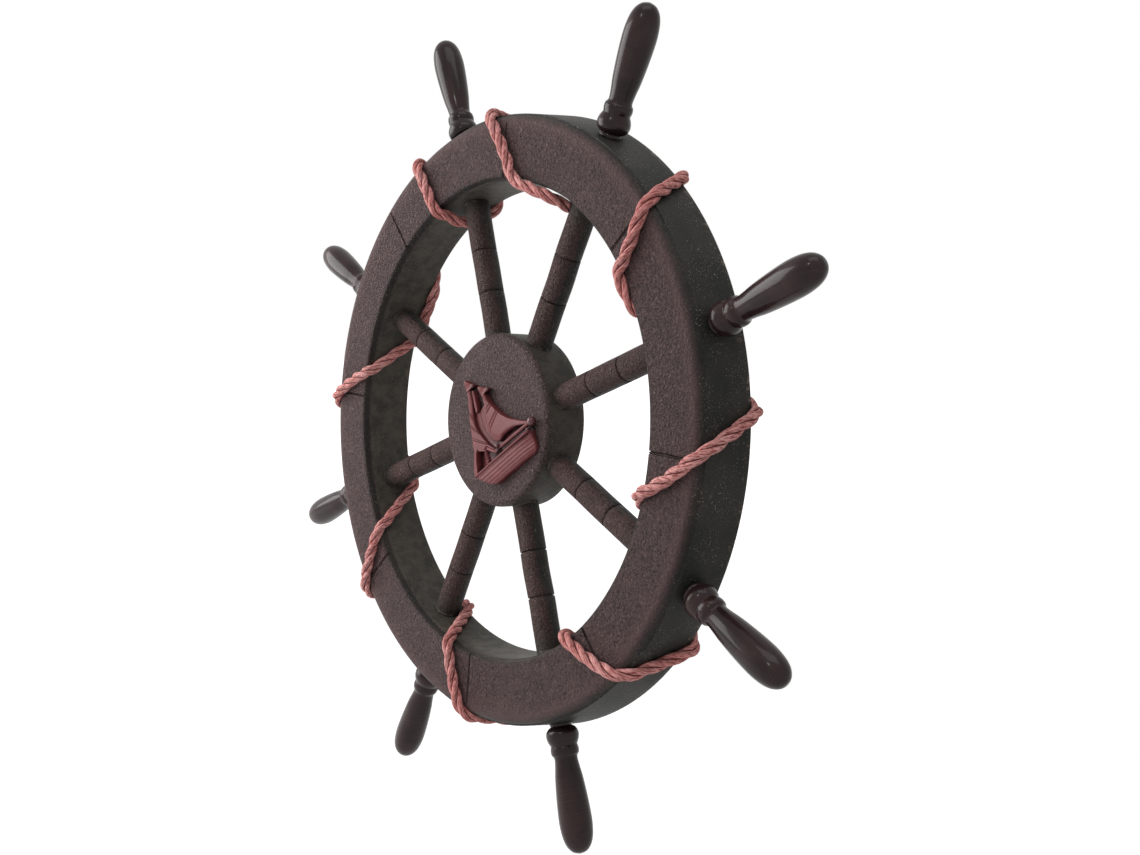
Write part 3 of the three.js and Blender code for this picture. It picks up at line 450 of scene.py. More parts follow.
lacquer, tree, shader = new_material("lacquer", 0.28, Specular_IOR_Level=0.1, Coat_Weight=0.2, Coat_Roughness=0.06)
place, parts, radius, facing = wheel_places(tree)
rings = node(tree, "TexNoise", {"W": math_of(tree, "DIVIDE", radius, 0.7 * MM), "Scale": 1.0, "Detail": 2.0},
             noise_dimensions="1D").outputs[0]
stain = mixed(tree, ramp(tree, clouds(tree, place, 16 * MM), 0.3, 0.7), tone(38, 25, 25), tone(58, 39, 38))
stain = mixed(tree, ramp(tree, rings, 0.45, 0.7, 0.0, 0.3), stain, tone(20, 14, 14))
tree.links.new(stain, shader.inputs["Base Color"])
bumped(tree, shader, rings, 0.05 * MM, 0.1)

for arm, (handle_place, lean) in enumerate(handle_places):
    outline = [(0, -TENON_LENGTH), (TENON_RADIUS, -TENON_LENGTH), (TENON_RADIUS, -1.4 * MM)]
    outline += [(radius * MM, height * MM) for radius, height in handle_flange]
    grip = smooth_curve([(share, along) for along, share in handle_shares], 4)
    outline += [(HANDLE_RADIUS * max(share, 0), HANDLE_LENGTH * along) for share, along in grip if along > 0.008]
    handle_shape = lathe(outline, 56)
    seat_angle = (arm + 0.5) * 2 * math.pi / ARM_COUNT + math.radians(handle_place)
    bmesh.ops.rotate(handle_shape, verts=handle_shape.verts, matrix=Matrix.Rotation(math.radians(lean), 3, "Y"))
    bmesh.ops.translate(handle_shape, verts=handle_shape.verts, vec=(0, 0, HANDLE_SEAT))
    along_radius(handle_shape, seat_angle, handle_y)
    piece(f"handle_turned_{arm + 1}", handle_shape, lacquer, "lacquered_wood", f"handle_{arm + 1}", crease=70)

# Ship: a sailing ship moulded in one piece of red-brown resin and glued to the hub, bow up. It has a clinker hull
# under a gunwale, a stern board, a twisted post, a main sail, a folded stay sail behind it and a head sail, seams
# across the sails, a round rail that ends in a ball, and two pennants.
EMBLEM_LENGTH = 57 * MM
EMBLEM_HEIGHT = 62 * MM
EMBLEM_TILT = math.radians(-36)
PLANK_COUNT = 7
PLANK_LAP = 0.2                    # share of a plank's width that falls back to the next plank
SHEET_LETDOWN = 0.12               # share of its height that a sheet loses at its rounded edge
SEAM_DEPTH = 0.4                   # in millimetres
SEAM_HALF_WIDTH, SEAM_GAP = 0.007, 0.04   # of a line and of a pair of lines, as shares of a sail's length
emblem_shift = Vector((2.2 * MM, hub_face, 0.4 * MM))


def emblem_place(x_share, z_share, height=0.0):
    """A place on the upright ship, from its shares of the length and height and its height above the hub."""
    upright = Vector((x_share * EMBLEM_LENGTH, -height, (z_share - 0.5) * EMBLEM_HEIGHT))
    upright.rotate(Matrix.Rotation(EMBLEM_TILT, 3, "Y"))
    return upright + emblem_shift


def walked(line, share):
    """The point that lies at a share of a line's length."""
    lengths = [math.dist(a, b) for a, b in zip(line, line[1:])]
    left = share * sum(lengths)
    for start, end, length in zip(line, line[1:], lengths):
        if left <= length:
            break
        left -= length
    part = min(left / length, 1)
    return [a + (b - a) * part for a, b in zip(start, end)]


def sheet(first, second, height, columns=18, rows=48, edge=0.35 * MM):
    """A moulded sheet between two lines of the ship, with edges rounded over a width and let down onto the hub. Its
    height above the hub, in millimetres, comes from the shares across and along it."""
    first, second = smooth_curve(first, 6), smooth_curve(second, 6)
    shape = bmesh.new()
    bmesh.ops.create_grid(shape, x_segments=columns, y_segments=rows, size=0.5)
    for vert in shape.verts:
        across, along = (0.5 - 0.5 * math.cos(math.pi * (share + 0.5)) for share in vert.co.xy)
        start, end = walked(first, along), walked(second, along)
        x, z = (a + (b - a) * across for a, b in zip(start, end))
        wide = math.hypot((end[0] - start[0]) * EMBLEM_LENGTH, (end[1] - start[1]) * EMBLEM_HEIGHT)
        long = 0.9 * EMBLEM_HEIGHT * sum(map(math.dist, first, first[1:]))
        inward = min(min(across, 1 - across) * wide, min(along, 1 - along) * long) / edge
        rounded = 1 - (1 - math.sqrt(1 - (1 - min(inward, 1)) ** 2)) * SHEET_LETDOWN
        vert.co = emblem_place(x, z, height(across, along) * MM * rounded)
    border = [item for item in shape.edges if item.is_boundary]
    let_down = bmesh.ops.extrude_edge_only(shape, edges=border)["geom"]
    for vert in (item for item in let_down if isinstance(item, bmesh.types.BMVert)):
        vert.co.y = hub_face
    bmesh.ops.recalc_face_normals(shape, faces=shape.faces)
    return shape


def seamed(places):
    """Pairs of thin seam lines across a sail, as a depth for a place along it."""
    lines = [place + side * SEAM_GAP / 2 for place in places for side in (-1, 1)]
    return lambda along: SEAM_DEPTH * sum(math.exp(-((along - line) / SEAM_HALF_WIDTH) ** 2) for line in lines)


def resin_of(name, roughness, light, dark, **sockets):
    """Red-brown resin of two tints, darkened with painted shade in its hollows."""
    material, tree, shader = new_material(name, roughness, Specular_IOR_Level=0.25, **sockets)
    place = node(tree, "TexCoord").outputs["Object"]
    hollow_shade = node(tree, "AmbientOcclusion", {"Distance": 4.5 * MM}, samples=8).outputs["AO"]
    tint = mixed(tree, ramp(tree, clouds(tree, place, 6 * MM), 0.3, 0.7), tone(*dark), tone(*light))
    # Painted shade: the tint turns deep red-brown where ambient occlusion finds a hollow.
    tree.links.new(mixed(tree, ramp(tree, hollow_shade, 0.3, 0.95), tone(44, 19, 21), tint), shader.inputs["Base Color"])
    bumped(tree, shader, clouds(tree, place, 0.7 * MM), 0.1 * MM, 0.25)
    return material


resin = resin_of("resin", 0.5, (118, 58, 60), (106, 48, 50))
polished_resin = resin_of("polished_resin", 0.3, (96, 40, 45), (84, 34, 39), Coat_Weight=0.45, Coat_Roughness=0.12)


def clinker(share):
    """How far a plank of the hull stands out at a share of its width, from its top to the lower edge that laps over
    the next one."""
    return share / (1 - PLANK_LAP) if share < 1 - PLANK_LAP else (1 - share) / PLANK_LAP


main_seams, head_seams = seamed((0.34, 0.56, 0.78)), seamed((0.17, 0.33))
ship_sheets = {
    "ship_hull": sheet(
        [(-0.455, 0.172), (-0.40, 0.114), (-0.34, 0.062), (-0.27, 0.012), (-0.20, -0.012), (-0.15, -0.015)],
        [(0.475, 0.156), (0.46, 0.10), (0.455, 0.04), (0.43, 0.0), (0.385, -0.018)],
        lambda across, along: (4.7 - 2.0 * along ** 2 + 0.22 * clinker((along * PLANK_COUNT) % 1)
                               - across ** 5 * (1.2 + 1.4 * min(along * 2.5, 1) * (1 - along / 2))),
        columns=30, rows=140),
    "ship_stern_board": sheet(
        [(-0.475, 0.19), (-0.473, 0.226), (-0.42, 0.304), (-0.365, 0.388)],
        [(-0.42, 0.165), (-0.397, 0.19), (-0.375, 0.248), (-0.336, 0.322), (-0.30, 0.36)],
        lambda across, along: 5.0 - 1.2 * (1 - across), columns=10, rows=24),
    "ship_well": sheet(
        [(-0.455, 0.16), (-0.2, 0.16), (0.1, 0.16), (0.47, 0.15)],
        [(-0.36, 0.37), (-0.12, 0.32), (0.09, 0.30), (0.46, 0.235)],
        lambda across, along: 1.0, columns=4, rows=12),
    "ship_main_sail": sheet(
        [(-0.197, 0.871), (-0.223, 0.806), (-0.252, 0.735), (-0.284, 0.66), (-0.308, 0.594), (-0.336, 0.508),
         (-0.364, 0.417), (-0.378, 0.375)],
        [(-0.15, 0.865), (-0.17, 0.778), (-0.196, 0.706), (-0.228, 0.63), (-0.236, 0.563), (-0.217, 0.484),
         (-0.183, 0.41), (-0.132, 0.322), (-0.054, 0.238), (-0.03, 0.215)],
        lambda across, along: 4.0 + 0.45 * math.sin(math.pi * across ** 0.8) - main_seams(along), rows=220),
    "ship_main_mast": sheet(
        [(-0.16, 0.865), (-0.18, 0.71), (-0.185, 0.66)], [(-0.122, 0.853), (-0.143, 0.71), (-0.157, 0.655)],
        lambda across, along: 3.3, columns=10, rows=20),
    "ship_stay_sail": sheet(
        [(-0.20, 0.71), (-0.24, 0.61), (-0.236, 0.54), (-0.205, 0.45), (-0.13, 0.32), (-0.04, 0.235)],
        [(-0.155, 0.655), (-0.16, 0.59), (-0.165, 0.51), (-0.14, 0.42), (-0.09, 0.33), (-0.035, 0.25)],
        lambda across, along: 2.2 - 0.4 * across),
    "ship_stay_sail_fold": sheet(
        [(-0.155, 0.655), (-0.16, 0.59), (-0.165, 0.51), (-0.14, 0.42), (-0.09, 0.33), (-0.035, 0.25)],
        [(-0.05, 0.70), (-0.02, 0.62), (-0.05, 0.55), (-0.075, 0.47), (-0.085, 0.39), (-0.04, 0.31), (-0.02, 0.26)],
        lambda across, along: 1.8 - 1.0 * across),
    "ship_head_sail": sheet(
        [(0.0, 0.73), (-0.019, 0.676), (-0.022, 0.615), (-0.054, 0.547), (-0.078, 0.475), (-0.087, 0.396),
         (-0.05, 0.325), (0.01, 0.285), (0.06, 0.288), (0.12, 0.30), (0.22, 0.296), (0.32, 0.275), (0.41, 0.24),
         (0.48, 0.215)],
        [(0.036, 0.73), (0.038, 0.667), (0.081, 0.588), (0.14, 0.495), (0.232, 0.398), (0.389, 0.29), (0.50, 0.225)],
        lambda across, along: (3.9 + 0.5 * math.sin(math.pi * across ** 0.7) * (1 - along) ** 0.4
                               - 0.9 * max(0, 1 - across / 0.25) * (1 - along) ** 0.5 - head_seams(along)), rows=220),
    "ship_pennant": sheet(
        [(-0.199, 0.995), (-0.213, 0.94), (-0.228, 0.883)], [(-0.195, 0.992), (-0.14, 0.935), (-0.085, 0.885)],
        lambda across, along: 3.6 + 0.35 * math.sin(6 * along), columns=12, rows=16, edge=0.4 * MM),
    "ship_small_pennant": sheet(
        [(-0.034, 0.845), (-0.036, 0.79), (-0.03, 0.735)], [(-0.03, 0.842), (0.03, 0.80), (0.09, 0.757)],
        lambda across, along: 3.6 + 0.35 * math.sin(6 * along), columns=12, rows=16, edge=0.4 * MM),
}
for name, shape in ship_sheets.items():
    piece(name, shape, resin, "cast_resin", *(["ship_emblem"] if name == "ship_hull" else []))


def bar(name, ends, radius, height, bulges=0):
    """A round bar of the ship between two places, plain or twisted, with round ends."""
    start, end = (emblem_place(*place, height) for place in ends)
    length = (end - start).length
    steps = 40 if bulges else 4
    profile = [(0, -radius), (radius * 0.7, -radius * 0.7), (radius, 0)]
    profile += [(radius * (0.78 + 0.22 * math.cos(2 * math.pi * bulges * i / steps)), length * i / steps)
                for i in range(1, steps)]
    profile += [(radius, length), (radius * 0.7, length + radius * 0.7), (0, length + radius)]
    shape = lathe(profile, 16)
    turn = Vector((0, 0, 1)).rotation_difference(end - start).to_matrix()
    bmesh.ops.rotate(shape, verts=shape.verts, matrix=turn)
    bmesh.ops.translate(shape, verts=shape.verts, vec=start)
    piece(name, shape, resin, "cast_resin", crease=80)


def ball(name, place, radius, height):
    """A small ball of the ship."""
    shape = bmesh.new()
    bmesh.ops.create_uvsphere(shape, u_segments=20, v_segments=12, radius=radius)
    bmesh.ops.translate(shape, verts=shape.verts, vec=emblem_place(*place, height))
    piece(name, shape, polished_resin, "cast_resin", crease=80)


bar("ship_rail", [(0.03, 0.229), (0.50, 0.214)], 1.1 * MM, 3.4 * MM)
bar("ship_gunwale", [(-0.44, 0.164), (0.478, 0.153)], 0.7 * MM, 4.8 * MM)
bar("ship_twisted_post", [(-0.172, 0.305), (-0.185, 0.2)], 1.5 * MM, 4.6 * MM, bulges=5)
bar("ship_sail_foot", [(-0.16, 0.30), (-0.045, 0.208)], 1.0 * MM, 4.4 * MM)
ball("ship_bow_ball", (0.521, 0.215), 2.4 * MM, 3.0 * MM)
ball("ship_bow_cap", (0.485, 0.157), 0.9 * MM, 5.6 * MM)
ball("ship_clew_ball", (-0.009, 0.25), 1.15 * MM, 4.4 * MM)
ball("ship_sheet_ball", (-0.024, 0.217), 1.15 * MM, 4.4 * MM)
ball("ship_main_truck", (-0.093, 0.887), 1.1 * MM, 3.6 * MM)
ball("ship_fore_truck", (0.095, 0.751), 1.1 * MM, 3.6 * MM)

# Rope: one soft cotton rope laid from three strands and dyed a dusty pink. It is wound round the rim in eight
# turns, one between each two handles, and each of its ends is stapled to the rim's back.
ROPE_GIRTH = 6.55 * MM             # across the laid strands
ROPE_LAY = 32 * MM                 # length in which a strand goes once round the rope
ROPE_STEP = 1.35 * MM              # length of one step of its mesh
ROPE_EASING = 5                    # how many times its line is smoothed
STRAND_SHARE = 0.49                # a strand's radius as a share of the rope's: the soft strands press together
STRAND_SIDES = 12
STRAND_SWELL = 0.07                # how far a strand swells and thins, as a share of its radius
EDGE_BITE = 1.1 * MM               # how far the soft rope is pressed in where it lies on the rim
WALL_SLACK = 4 * MM                # how far a loose turn stands off the inner wall
ROPE_START, ROPE_END = 162.5, 519  # angles of the stapled ends, in degrees
rope_reach = ROPE_GIRTH / 2 - EDGE_BITE
# Each row is one turn, in degrees from its middle: where it passes the back's and the face's outer edge, reaches and
# leaves the face's inner edge, and reaches and leaves the back's inner edge. The last two numbers are shares of the
# slack, at the face's inner edge and on the inner wall.
rope_turns = [
    (-3.0, 0.4, 8.6, 10.6, 21.0, 24.0, 0.00, 0.00), (-4.5, -1.5, 6.8, 9.0, 19.5, 26.5, 0.00, 0.00),
    (-10.3, -1.8, 6.2, 8.2, 17.3, 32.5, 0.00, 0.00), (6.2, 13.7, 16.3, 16.9, 17.3, 23.0, 0.20, 1.00),
    (-13.0, -5.5, 4.8, 17.5, 22.0, 33.6, 0.35, 0.90), (-6.3, 0.0, 6.0, 14.5, 16.0, 27.0, -0.15, 0.00),
    (-8.2, -1.2, 8.8, 11.4, 17.8, 27.0, 0.00, 0.00), (-11.4, -3.7, 5.6, 7.6, 17.6, 18.4, 0.00, 0.00)]


def beside(corner, direction):
    """The rope's middle beside a point of the rim's section."""
    return Vector(corner) + rope_reach * Vector(direction).normalized()


def round_corner(corner, start, end):
    """Four places of the rope's middle round a sharp corner."""
    turns = [share * math.pi / 2 for share in (0, 1 / 3, 2 / 3, 1)]
    return [beside(corner, Vector(start) * math.cos(t) + Vector(end) * math.sin(t)) for t in turns]


outward, inward = (1, (rim_outer - outer_crease) / crease_y), (-1, 0)
frontward, backward = (0, -1), (0, 1)
foot_width = outer_crease - LEDGE - face_outer
outer_shoulder = []
for turn in (0.33 * math.pi / 2, 0.66 * math.pi / 2):
    edge = (face_outer + foot_width * math.cos(turn), crease_y - FACE_RISE * math.sin(turn))
    outer_shoulder.append(beside(edge, (FACE_RISE * math.cos(turn), -foot_width * math.sin(turn))))
outer_back = round_corner((rim_outer, 0), backward, outward)
outer_face = [beside((outer_crease, crease_y), outward), *outer_shoulder, beside((face_outer, face_y), frontward)]
inner_face = [*round_corner((inner_crease + 1.0 * MM, face_y + 0.4 * MM), frontward, inward)[:3],
              beside((inner_crease, crease_y), inward)]
inner_back = round_corner((rim_inner, 0), inward, backward)


def along_side(places, start, end):
    """Places along one side of the rim with their angles, which grow with the length covered."""
    reached = [0]
    for here, there in zip(places, places[1:]):
        reached.append(reached[-1] + (there - here).length)
    return [(place, start + (end - start) * done / reached[-1]) for place, done in zip(places, reached)]


def rope_turn(turn):
    """One turn of the rope, from the back's outer edge round to where it has crossed the back."""
    middle = 180 + 45 * turn
    row, following = rope_turns[turn], rope_turns[(turn + 1) % ARM_COUNT]
    out_back, out_face, in_face, leave_face, in_back, leave_back = (middle + lean for lean in row[:6])
    edge_slack, wall_slack = (Vector((-share * WALL_SLACK, 0)) for share in row[6:])
    face_edge = [inner_face[0], *(place + edge_slack for place in inner_face[1:])]
    walls = [outer_back + [outer_back[3].lerp(outer_face[0], 0.5)] + outer_face[:2],
             outer_face[1:] + [outer_face[3].lerp(inner_face[0], share) for share in (0.25, 0.5, 0.75, 1)],
             face_edge,
             [face_edge[3], inner_face[3].lerp(inner_back[0], 0.35) + wall_slack,
              inner_face[3].lerp(inner_back[0], 0.7) + 0.8 * wall_slack, inner_back[0]],
             inner_back,
             [inner_back[3].lerp(outer_back[0], share) for share in (0, 0.33, 0.67, 1)]]
    angles = [out_back, out_face, in_face, leave_face, in_back, leave_back, middle + 45 + following[0]]
    places = [(walls[0][0], out_back)]
    for wall, start, end in zip(walls, angles, angles[1:]):
        places += along_side(wall, start, end)[1:]
    return places[:-1]


across_back = inner_back[3].lerp(outer_back[0], 0.5)
route = along_side([across_back, across_back.lerp(outer_back[0], 0.5), outer_back[0]], ROPE_START,
                   180 + rope_turns[0][0])[:-1]
for turn in range(ARM_COUNT):
    route += rope_turn(turn)
finish = [inner_back[3], inner_back[3].lerp(across_back, 0.5), across_back]
route = route[:-2] + along_side(finish, route[-3][1], ROPE_END)[1:]
route = [Vector((place.x * math.sin(math.radians(angle)), place.y, place.x * math.cos(math.radians(angle))))
         for place, angle in route]


def evenly(points, step):
    """Points at even distances along a line, as near to a step as they come out, and the line's length."""
    reached = [0]
    for here, there in zip(points, points[1:]):
        reached.append(reached[-1] + math.dist(here, there))
    count = round(reached[-1] / step)
    even, i = [], 0
    for k in range(count + 1):
        wanted = reached[-1] * k / count
        while i < len(points) - 2 and reached[i + 1] < wanted:
            i += 1
        share = (wanted - reached[i]) / (reached[i + 1] - reached[i])
        even.append(Vector(points[i]).lerp(Vector(points[i + 1]), min(share, 1)))
    return even, reached[-1]


rope_line, rope_length = evenly(smooth_curve(route, 8), ROPE_STEP)
for easing in range(ROPE_EASING):
    eased = [(a + 2 * b + c) / 4 for a, b, c in zip(rope_line, rope_line[1:], rope_line[2:])]
    rope_line = [rope_line[0], *eased, rope_line[-1]]
print("rope length", round(rope_length, 4), "m")
tangents = [(b - a).normalized() for a, b in zip(rope_line[:1] + rope_line, rope_line[1:] + rope_line[-1:])]
sides = [Vector((0, 1, 0)).cross(tangents[0]).normalized()]
for tangent in tangents[1:]:
    sides.append((sides[-1] - tangent * sides[-1].dot(tangent)).normalized())
strand_radius = STRAND_SHARE * ROPE_GIRTH / 2
helix_radius = ROPE_GIRTH / 2 - strand_radius
helix_slope = 2 * math.pi * helix_radius / ROPE_LAY

rope_shape = bmesh.new()
uv_layer = rope_shape.loops.layers.uv.new("UVMap")
for strand in range(3):
    grid = bmesh.ops.create_grid(rope_shape, x_segments=len(rope_line) - 1, y_segments=STRAND_SIDES, size=0.5,
                                 calc_uvs=True)["verts"]
    for vert in grid:
        i = round((vert.co.x + 0.5) * (len(rope_line) - 1))
        lay = 2 * math.pi * (i * ROPE_STEP / ROPE_LAY + strand / 3)
        tangent, side = tangents[i], sides[i]
        up = tangent.cross(side)
        out = side * math.cos(lay) + up * math.sin(lay)
        forward = (tangent + (up * math.cos(lay) - side * math.sin(lay)) * helix_slope).normalized()
        around = 2 * math.pi * (vert.co.y + 0.5)
        swell = 1 + STRAND_SWELL * noise.noise(Vector((i * ROPE_STEP / (6 * MM), strand * 7.3, math.cos(around))))
        round_strand = out * math.cos(around) + forward.cross(out) * math.sin(around)
        vert.co = rope_line[i] + out * helix_radius + strand_radius * swell * round_strand
for face in closed_up(rope_shape).faces:
    for loop in face.loops:
        loop[uv_layer].uv.x *= rope_length / (2 * math.pi * strand_radius)

cotton, tree, shader = new_material("cotton", 0.9, Specular_IOR_Level=0.2, Sheen_Weight=0.35, Sheen_Roughness=0.5,
                                    Sheen_Tint=tone(226, 190, 184))
coordinates = node(tree, "TexCoord")
twisted = node(tree, "Mapping", {"Vector": coordinates.outputs["UV"], "Rotation": (0, 0, math.radians(-32)),
                                 "Scale": (1.2, 4, 1)}).outputs[0]
fibres = node(tree, "TexNoise", {"Vector": twisted, "Scale": 3.0, "Detail": 4.0, "Roughness": 0.6}).outputs[0]
fading = clouds(tree, coordinates.outputs["Object"], 25 * MM)
strand_shade = node(tree, "AmbientOcclusion", {"Distance": 1.1 * MM}, samples=8).outputs["AO"]
dye_and_shade = mixed(tree, ramp(tree, fading, 0.3, 0.7), tone(226, 150, 144), tone(244, 183, 178))
dye_and_shade = mixed(tree, ramp(tree, fibres, 0.40, 0.56), tone(166, 90, 87), dye_and_shade)
# Painted shade: the dye turns deep red where ambient occlusion finds the grooves between the strands.
dye_and_shade = mixed(tree, ramp(tree, strand_shade, 0.4, 0.95), tone(92, 30, 30), dye_and_shade)
tree.links.new(dye_and_shade, shader.inputs["Base Color"])
bumped(tree, shader, fibres, 0.6 * MM)
piece("rope_laid", rope_shape, cotton, "cotton_rope", "rope", crease=80)

# Staples: two bent steel wires, driven into the rim's back over the rope's two ends.
ROPE_DIAMETER = 6.6 * MM           # with its loose fibres
STAPLE_WIRE = 0.55 * MM            # radius of the wire
STAPLE_PLAY = 0.3 * MM             # between the rope and a leg
STAPLE_HALF = ROPE_DIAMETER / 2 + STAPLE_PLAY + STAPLE_WIRE
CROWN_DROP = 0.2 * MM              # how far the crown is pressed into the rope
STAPLE_BEND = 1 * MM
STAPLE_LEG = 5 * MM                # how deep a leg is driven in
STAPLE_FROM_END = 7 * MM


def wire(points, radius, across, sides=12, closed=False):
    """A round wire along a line that lies square to the direction across."""
    shape = bmesh.new()
    count = len(points)
    steps = count if closed else count - 1
    for vert in bmesh.ops.create_grid(shape, x_segments=steps, y_segments=sides, size=0.5)["verts"]:
        i = round((vert.co.x + 0.5) * steps)
        if closed:
            before, after = points[(i - 1) % count], points[(i + 1) % count]
        else:
            before, after = points[max(i - 1, 0)], points[min(i + 1, count - 1)]
        tangent = (Vector(after) - Vector(before)).normalized()
        side = across.cross(tangent).normalized()
        turn = 2 * math.pi * (vert.co.y + 0.5)
        vert.co = Vector(points[i % count]) + radius * (side * math.cos(turn) + tangent.cross(side) * math.sin(turn))
    return closed_up(shape)


zinc, tree, shader = new_material("zinc", 0.34, Metallic=1.0)
place = node(tree, "TexCoord").outputs["Object"]
spangle = clouds(tree, place, 2.5 * MM, 3.0)
plating = mixed(tree, ramp(tree, spangle, 0.35, 0.65), tone(158, 158, 154), tone(186, 186, 182))
dulled = ramp(tree, clouds(tree, place, 0.9 * MM, 4.0), 0.6, 0.72, 0.0, 0.5)
plating = mixed(tree, dulled, plating, tone(112, 108, 98))
tree.links.new(plating, shader.inputs["Base Color"])
tree.links.new(ramp(tree, spangle, 0.3, 0.7, 0.26, 0.46), shader.inputs["Roughness"])
bumped(tree, shader, clouds(tree, place, 0.5 * MM), 0.05 * MM, 0.2)
crown_y = cad_high.y - STAPLE_WIRE - CROWN_DROP
for number, (end, inside) in enumerate(((route[0], route[1]), (route[-1], route[-2])), 1):
    along = (inside - end).normalized()
    across = Vector((along.z, 0, -along.x))
    middle = end + along * STAPLE_FROM_END
    half = [(STAPLE_HALF - STAPLE_BEND, crown_y), (STAPLE_HALF, crown_y - STAPLE_BEND), (STAPLE_HALF, -STAPLE_LEG)]
    bends = [(-x, y) for x, y in reversed(half)] + half
    bent = [Vector((middle.x, 0, middle.z)) + across * x + Vector((0, y, 0)) for x, y in bends]
    corners = [bent[0], bent[1].lerp(bent[0], 0.1), *smooth_curve(bent[1:5], 5), bent[4].lerp(bent[5], 0.1), bent[5]]
    piece(f"staple_bent_{number}", wire(corners, STAPLE_WIRE, along), zinc, "zinc_steel", f"rope_staple_{number}",
          crease=50)

# Hanger: a steel strip rolled round the straight side of a ring of steel wire, and held by one screw below the
# ring. The ring swings in the roll.
ring_low, ring_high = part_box("hanger_ring")
plate_low, plate_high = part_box("hanger_plate")
RING_WIRE = 1.1 * MM               # radius of the wire
RING_BEND = 2.6 * MM               # length of a bend at the ring's upper corners
RING_TIP = 4.2 * MM                # length of the bend at its lower corner
PLATE_THICKNESS = 1.2 * MM
PLATE_CORNER = 4.6 * MM            # radius of the plate's lower corners
ROLL_RADIUS = 2.6 * MM             # outside the roll
ROLL_DEGREES = 300
hinge = Vector((0, (ring_low.y + ring_high.y) / 2, ring_high.z - RING_WIRE))
ring_half = (ring_high.x - ring_low.x) / 2 - RING_WIRE * 0.9
ring_depth = hinge.z - ring_low.z - RING_WIRE
slant = Vector((ring_half, 0, ring_depth)).normalized()
half_ring = [(ring_half - RING_BEND, 0), (ring_half, -0.5 * MM),
             (ring_half - RING_BEND * slant.x, -RING_BEND * slant.z),
             (RING_TIP * slant.x, RING_TIP * slant.z - ring_depth)]
ring_corners = [*half_ring, (0, -ring_depth + 1.2 * MM), *((-x, z) for x, z in reversed(half_ring))]
ring_line = [hinge + Vector((x, 0, z)) for x, z in smooth_curve(ring_corners, 6, closed=True)]
piece("ring_bent", wire(ring_line, RING_WIRE * 0.98, Vector((0, 1, 0)), 16, closed=True), zinc, "zinc_steel",
      "hanger_ring", crease=60, body="hanger_ring")

plate_shape = bmesh.new()
roll = [math.radians(turn) for turn in range(0, ROLL_DEGREES + 1, 15)]
outside, inside = ([(hinge.y - radius * math.cos(t), hinge.z + radius * math.sin(t)) for t in roll]
                   for radius in (ROLL_RADIUS, ROLL_RADIUS - PLATE_THICKNESS))
profile = [(0, plate_low.z), *outside, *reversed(inside), (PLATE_THICKNESS, plate_low.z)]
corners = [plate_shape.verts.new((plate_low.x, y, z)) for y, z in profile]
side_face = plate_shape.faces.new(corners)
swept = bmesh.ops.extrude_face_region(plate_shape, geom=[side_face])["geom"]
bmesh.ops.translate(plate_shape, verts=[v for v in swept if isinstance(v, bmesh.types.BMVert)],
                    vec=(plate_high.x - plate_low.x, 0, 0))
tail = [edge for edge in plate_shape.edges if all(v.co.z < plate_low.z + 0.01 * MM for v in edge.verts)
        and abs(edge.verts[0].co.y - edge.verts[1].co.y) > 0.5 * MM]
bmesh.ops.bevel(plate_shape, geom=tail, offset=PLATE_CORNER, affect="EDGES", segments=8, profile=0.5, material=-1)
bmesh.ops.recalc_face_normals(plate_shape, faces=plate_shape.faces)
piece("plate_rolled", plate_shape, zinc, "zinc_steel", "hanger_plate", crease=30)
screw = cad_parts["hanger_screw"]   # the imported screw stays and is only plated
screw.data.materials.clear()
screw.data.materials.append(zinc)

# Floor, light and camera: a large pale floor under the wheel, soft light from all round and from broad panels,
# and the camera that fits the photograph.
FLOOR_HALF = 6                     # in metres
FLOOR_GAP = 0.12                   # below the wheel, in metres
FLOOR_GLOW = (0.7, 2.2, 0.55, 1.0)   # near and far distance, and strengths there: weak near, so the shadow shows
SKY_LIGHT = 0.3                    # strength of the world's light on the wheel


def seen_white(tree):
    """1 for rays from the camera, off gloss and through glass, and 0 for those that only carry light."""
    rays = node(tree, "LightPath").outputs
    return math_of(tree, "MAXIMUM", math_of(tree, "MAXIMUM", rays["Is Camera Ray"], rays["Is Glossy Ray"]),
                   rays["Is Transmission Ray"])


floor_shape = bmesh.new()
bmesh.ops.create_grid(floor_shape, x_segments=4, y_segments=4, size=FLOOR_HALF)
bmesh.ops.translate(floor_shape, verts=floor_shape.verts, vec=(0, 0, cad_low.z - FLOOR_GAP))
floor_white, tree, shader = new_material("floor_white", 0.9, Base_Color=(0.8, 0.8, 0.8, 1), Emission_Color=(1, 1, 1, 1))
away = node(tree, "VectorMath", {0: node(tree, "TexCoord").outputs["Object"]}, operation="LENGTH").outputs["Value"]
glow = ramp(tree, away, *FLOOR_GLOW)
tree.links.new(times(tree, seen_white(tree), glow), shader.inputs["Emission Strength"])
solid("floor", floor_shape, floor_white)

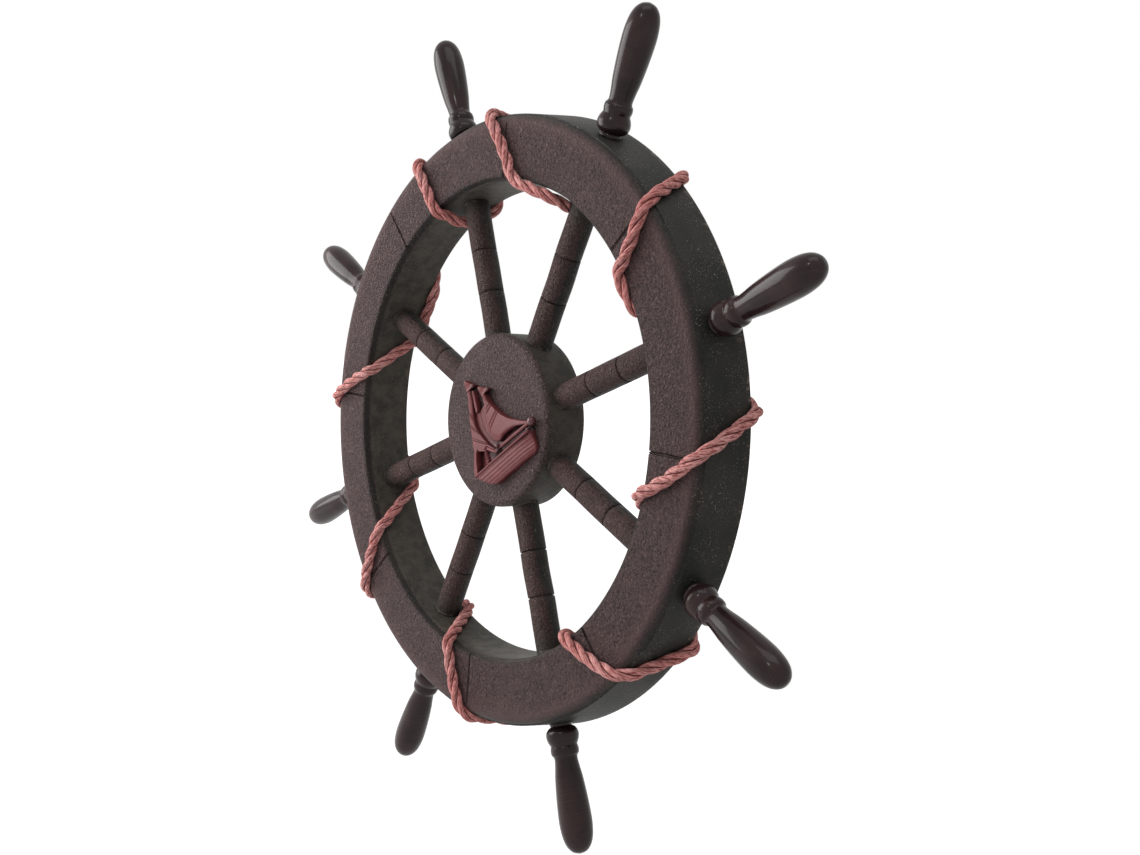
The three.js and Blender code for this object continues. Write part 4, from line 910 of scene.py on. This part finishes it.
world = bpy.data.worlds.new("studio")
bpy.context.scene.world = world
world.use_nodes = True
tree = world.node_tree
background = tree.nodes["Background"]
background.inputs["Color"].default_value = (1, 1, 1, 1)
tree.links.new(plus(tree, SKY_LIGHT, times(tree, seen_white(tree), 1 - SKY_LIGHT)), background.inputs["Strength"])


def panel(name, watts, size, place, aim):
    """A broad soft light, turned to a point."""
    light = bpy.data.lights.new(name, "AREA")
    light.energy = watts
    light.shape = "RECTANGLE"
    light.size, light.size_y = size
    made = bpy.data.objects.new(name, light)
    made.location = place
    made.rotation_euler = (Vector(place) - Vector(aim)).to_track_quat("Z", "Y").to_euler()
    bpy.context.collection.objects.link(made)


panel("key", 8.4, (0.7, 0.7), (-0.7, -0.6, 0.22), (0, 0, 0))
panel("glint", 0.9, (0.12, 0.12), (0.41, -0.8, 0.63), (0, 0, 0))
panel("top", 7, (1.4, 0.8), (0.5, -0.3, 1.6), (0, 0, 0))

CAMERA_AZIMUTH, CAMERA_ELEVATION, CAMERA_ROLL = (math.radians(turn) for turn in (50.562, 5.3188, 4.3324))
CAMERA_DISTANCE = 675.6238 * MM
FOCAL_PIXELS, PHOTO_WIDTH, SENSOR = 1295.65, 1140, 36
target = Vector((34.6717, 0, 0.1223)) * MM
backward = Vector((math.sin(CAMERA_AZIMUTH) * math.cos(CAMERA_ELEVATION),
                   -math.cos(CAMERA_AZIMUTH) * math.cos(CAMERA_ELEVATION), math.sin(CAMERA_ELEVATION)))
level_right = Vector((math.cos(CAMERA_AZIMUTH), math.sin(CAMERA_AZIMUTH), 0))
level_up = backward.cross(level_right)
right = level_right * math.cos(CAMERA_ROLL) + level_up * math.sin(CAMERA_ROLL)
up = level_up * math.cos(CAMERA_ROLL) - level_right * math.sin(CAMERA_ROLL)
camera_data = bpy.data.cameras.new("camera")
camera_data.sensor_width = SENSOR
camera_data.lens = FOCAL_PIXELS * SENSOR / PHOTO_WIDTH
camera = bpy.data.objects.new("camera", camera_data)
camera.matrix_world = Matrix.Translation(target + backward * CAMERA_DISTANCE) @ Matrix(
    (right, up, backward)).transposed().to_4x4()
bpy.context.collection.objects.link(camera)
bpy.context.scene.camera = camera
bpy.context.scene.view_settings.view_transform = "Standard"
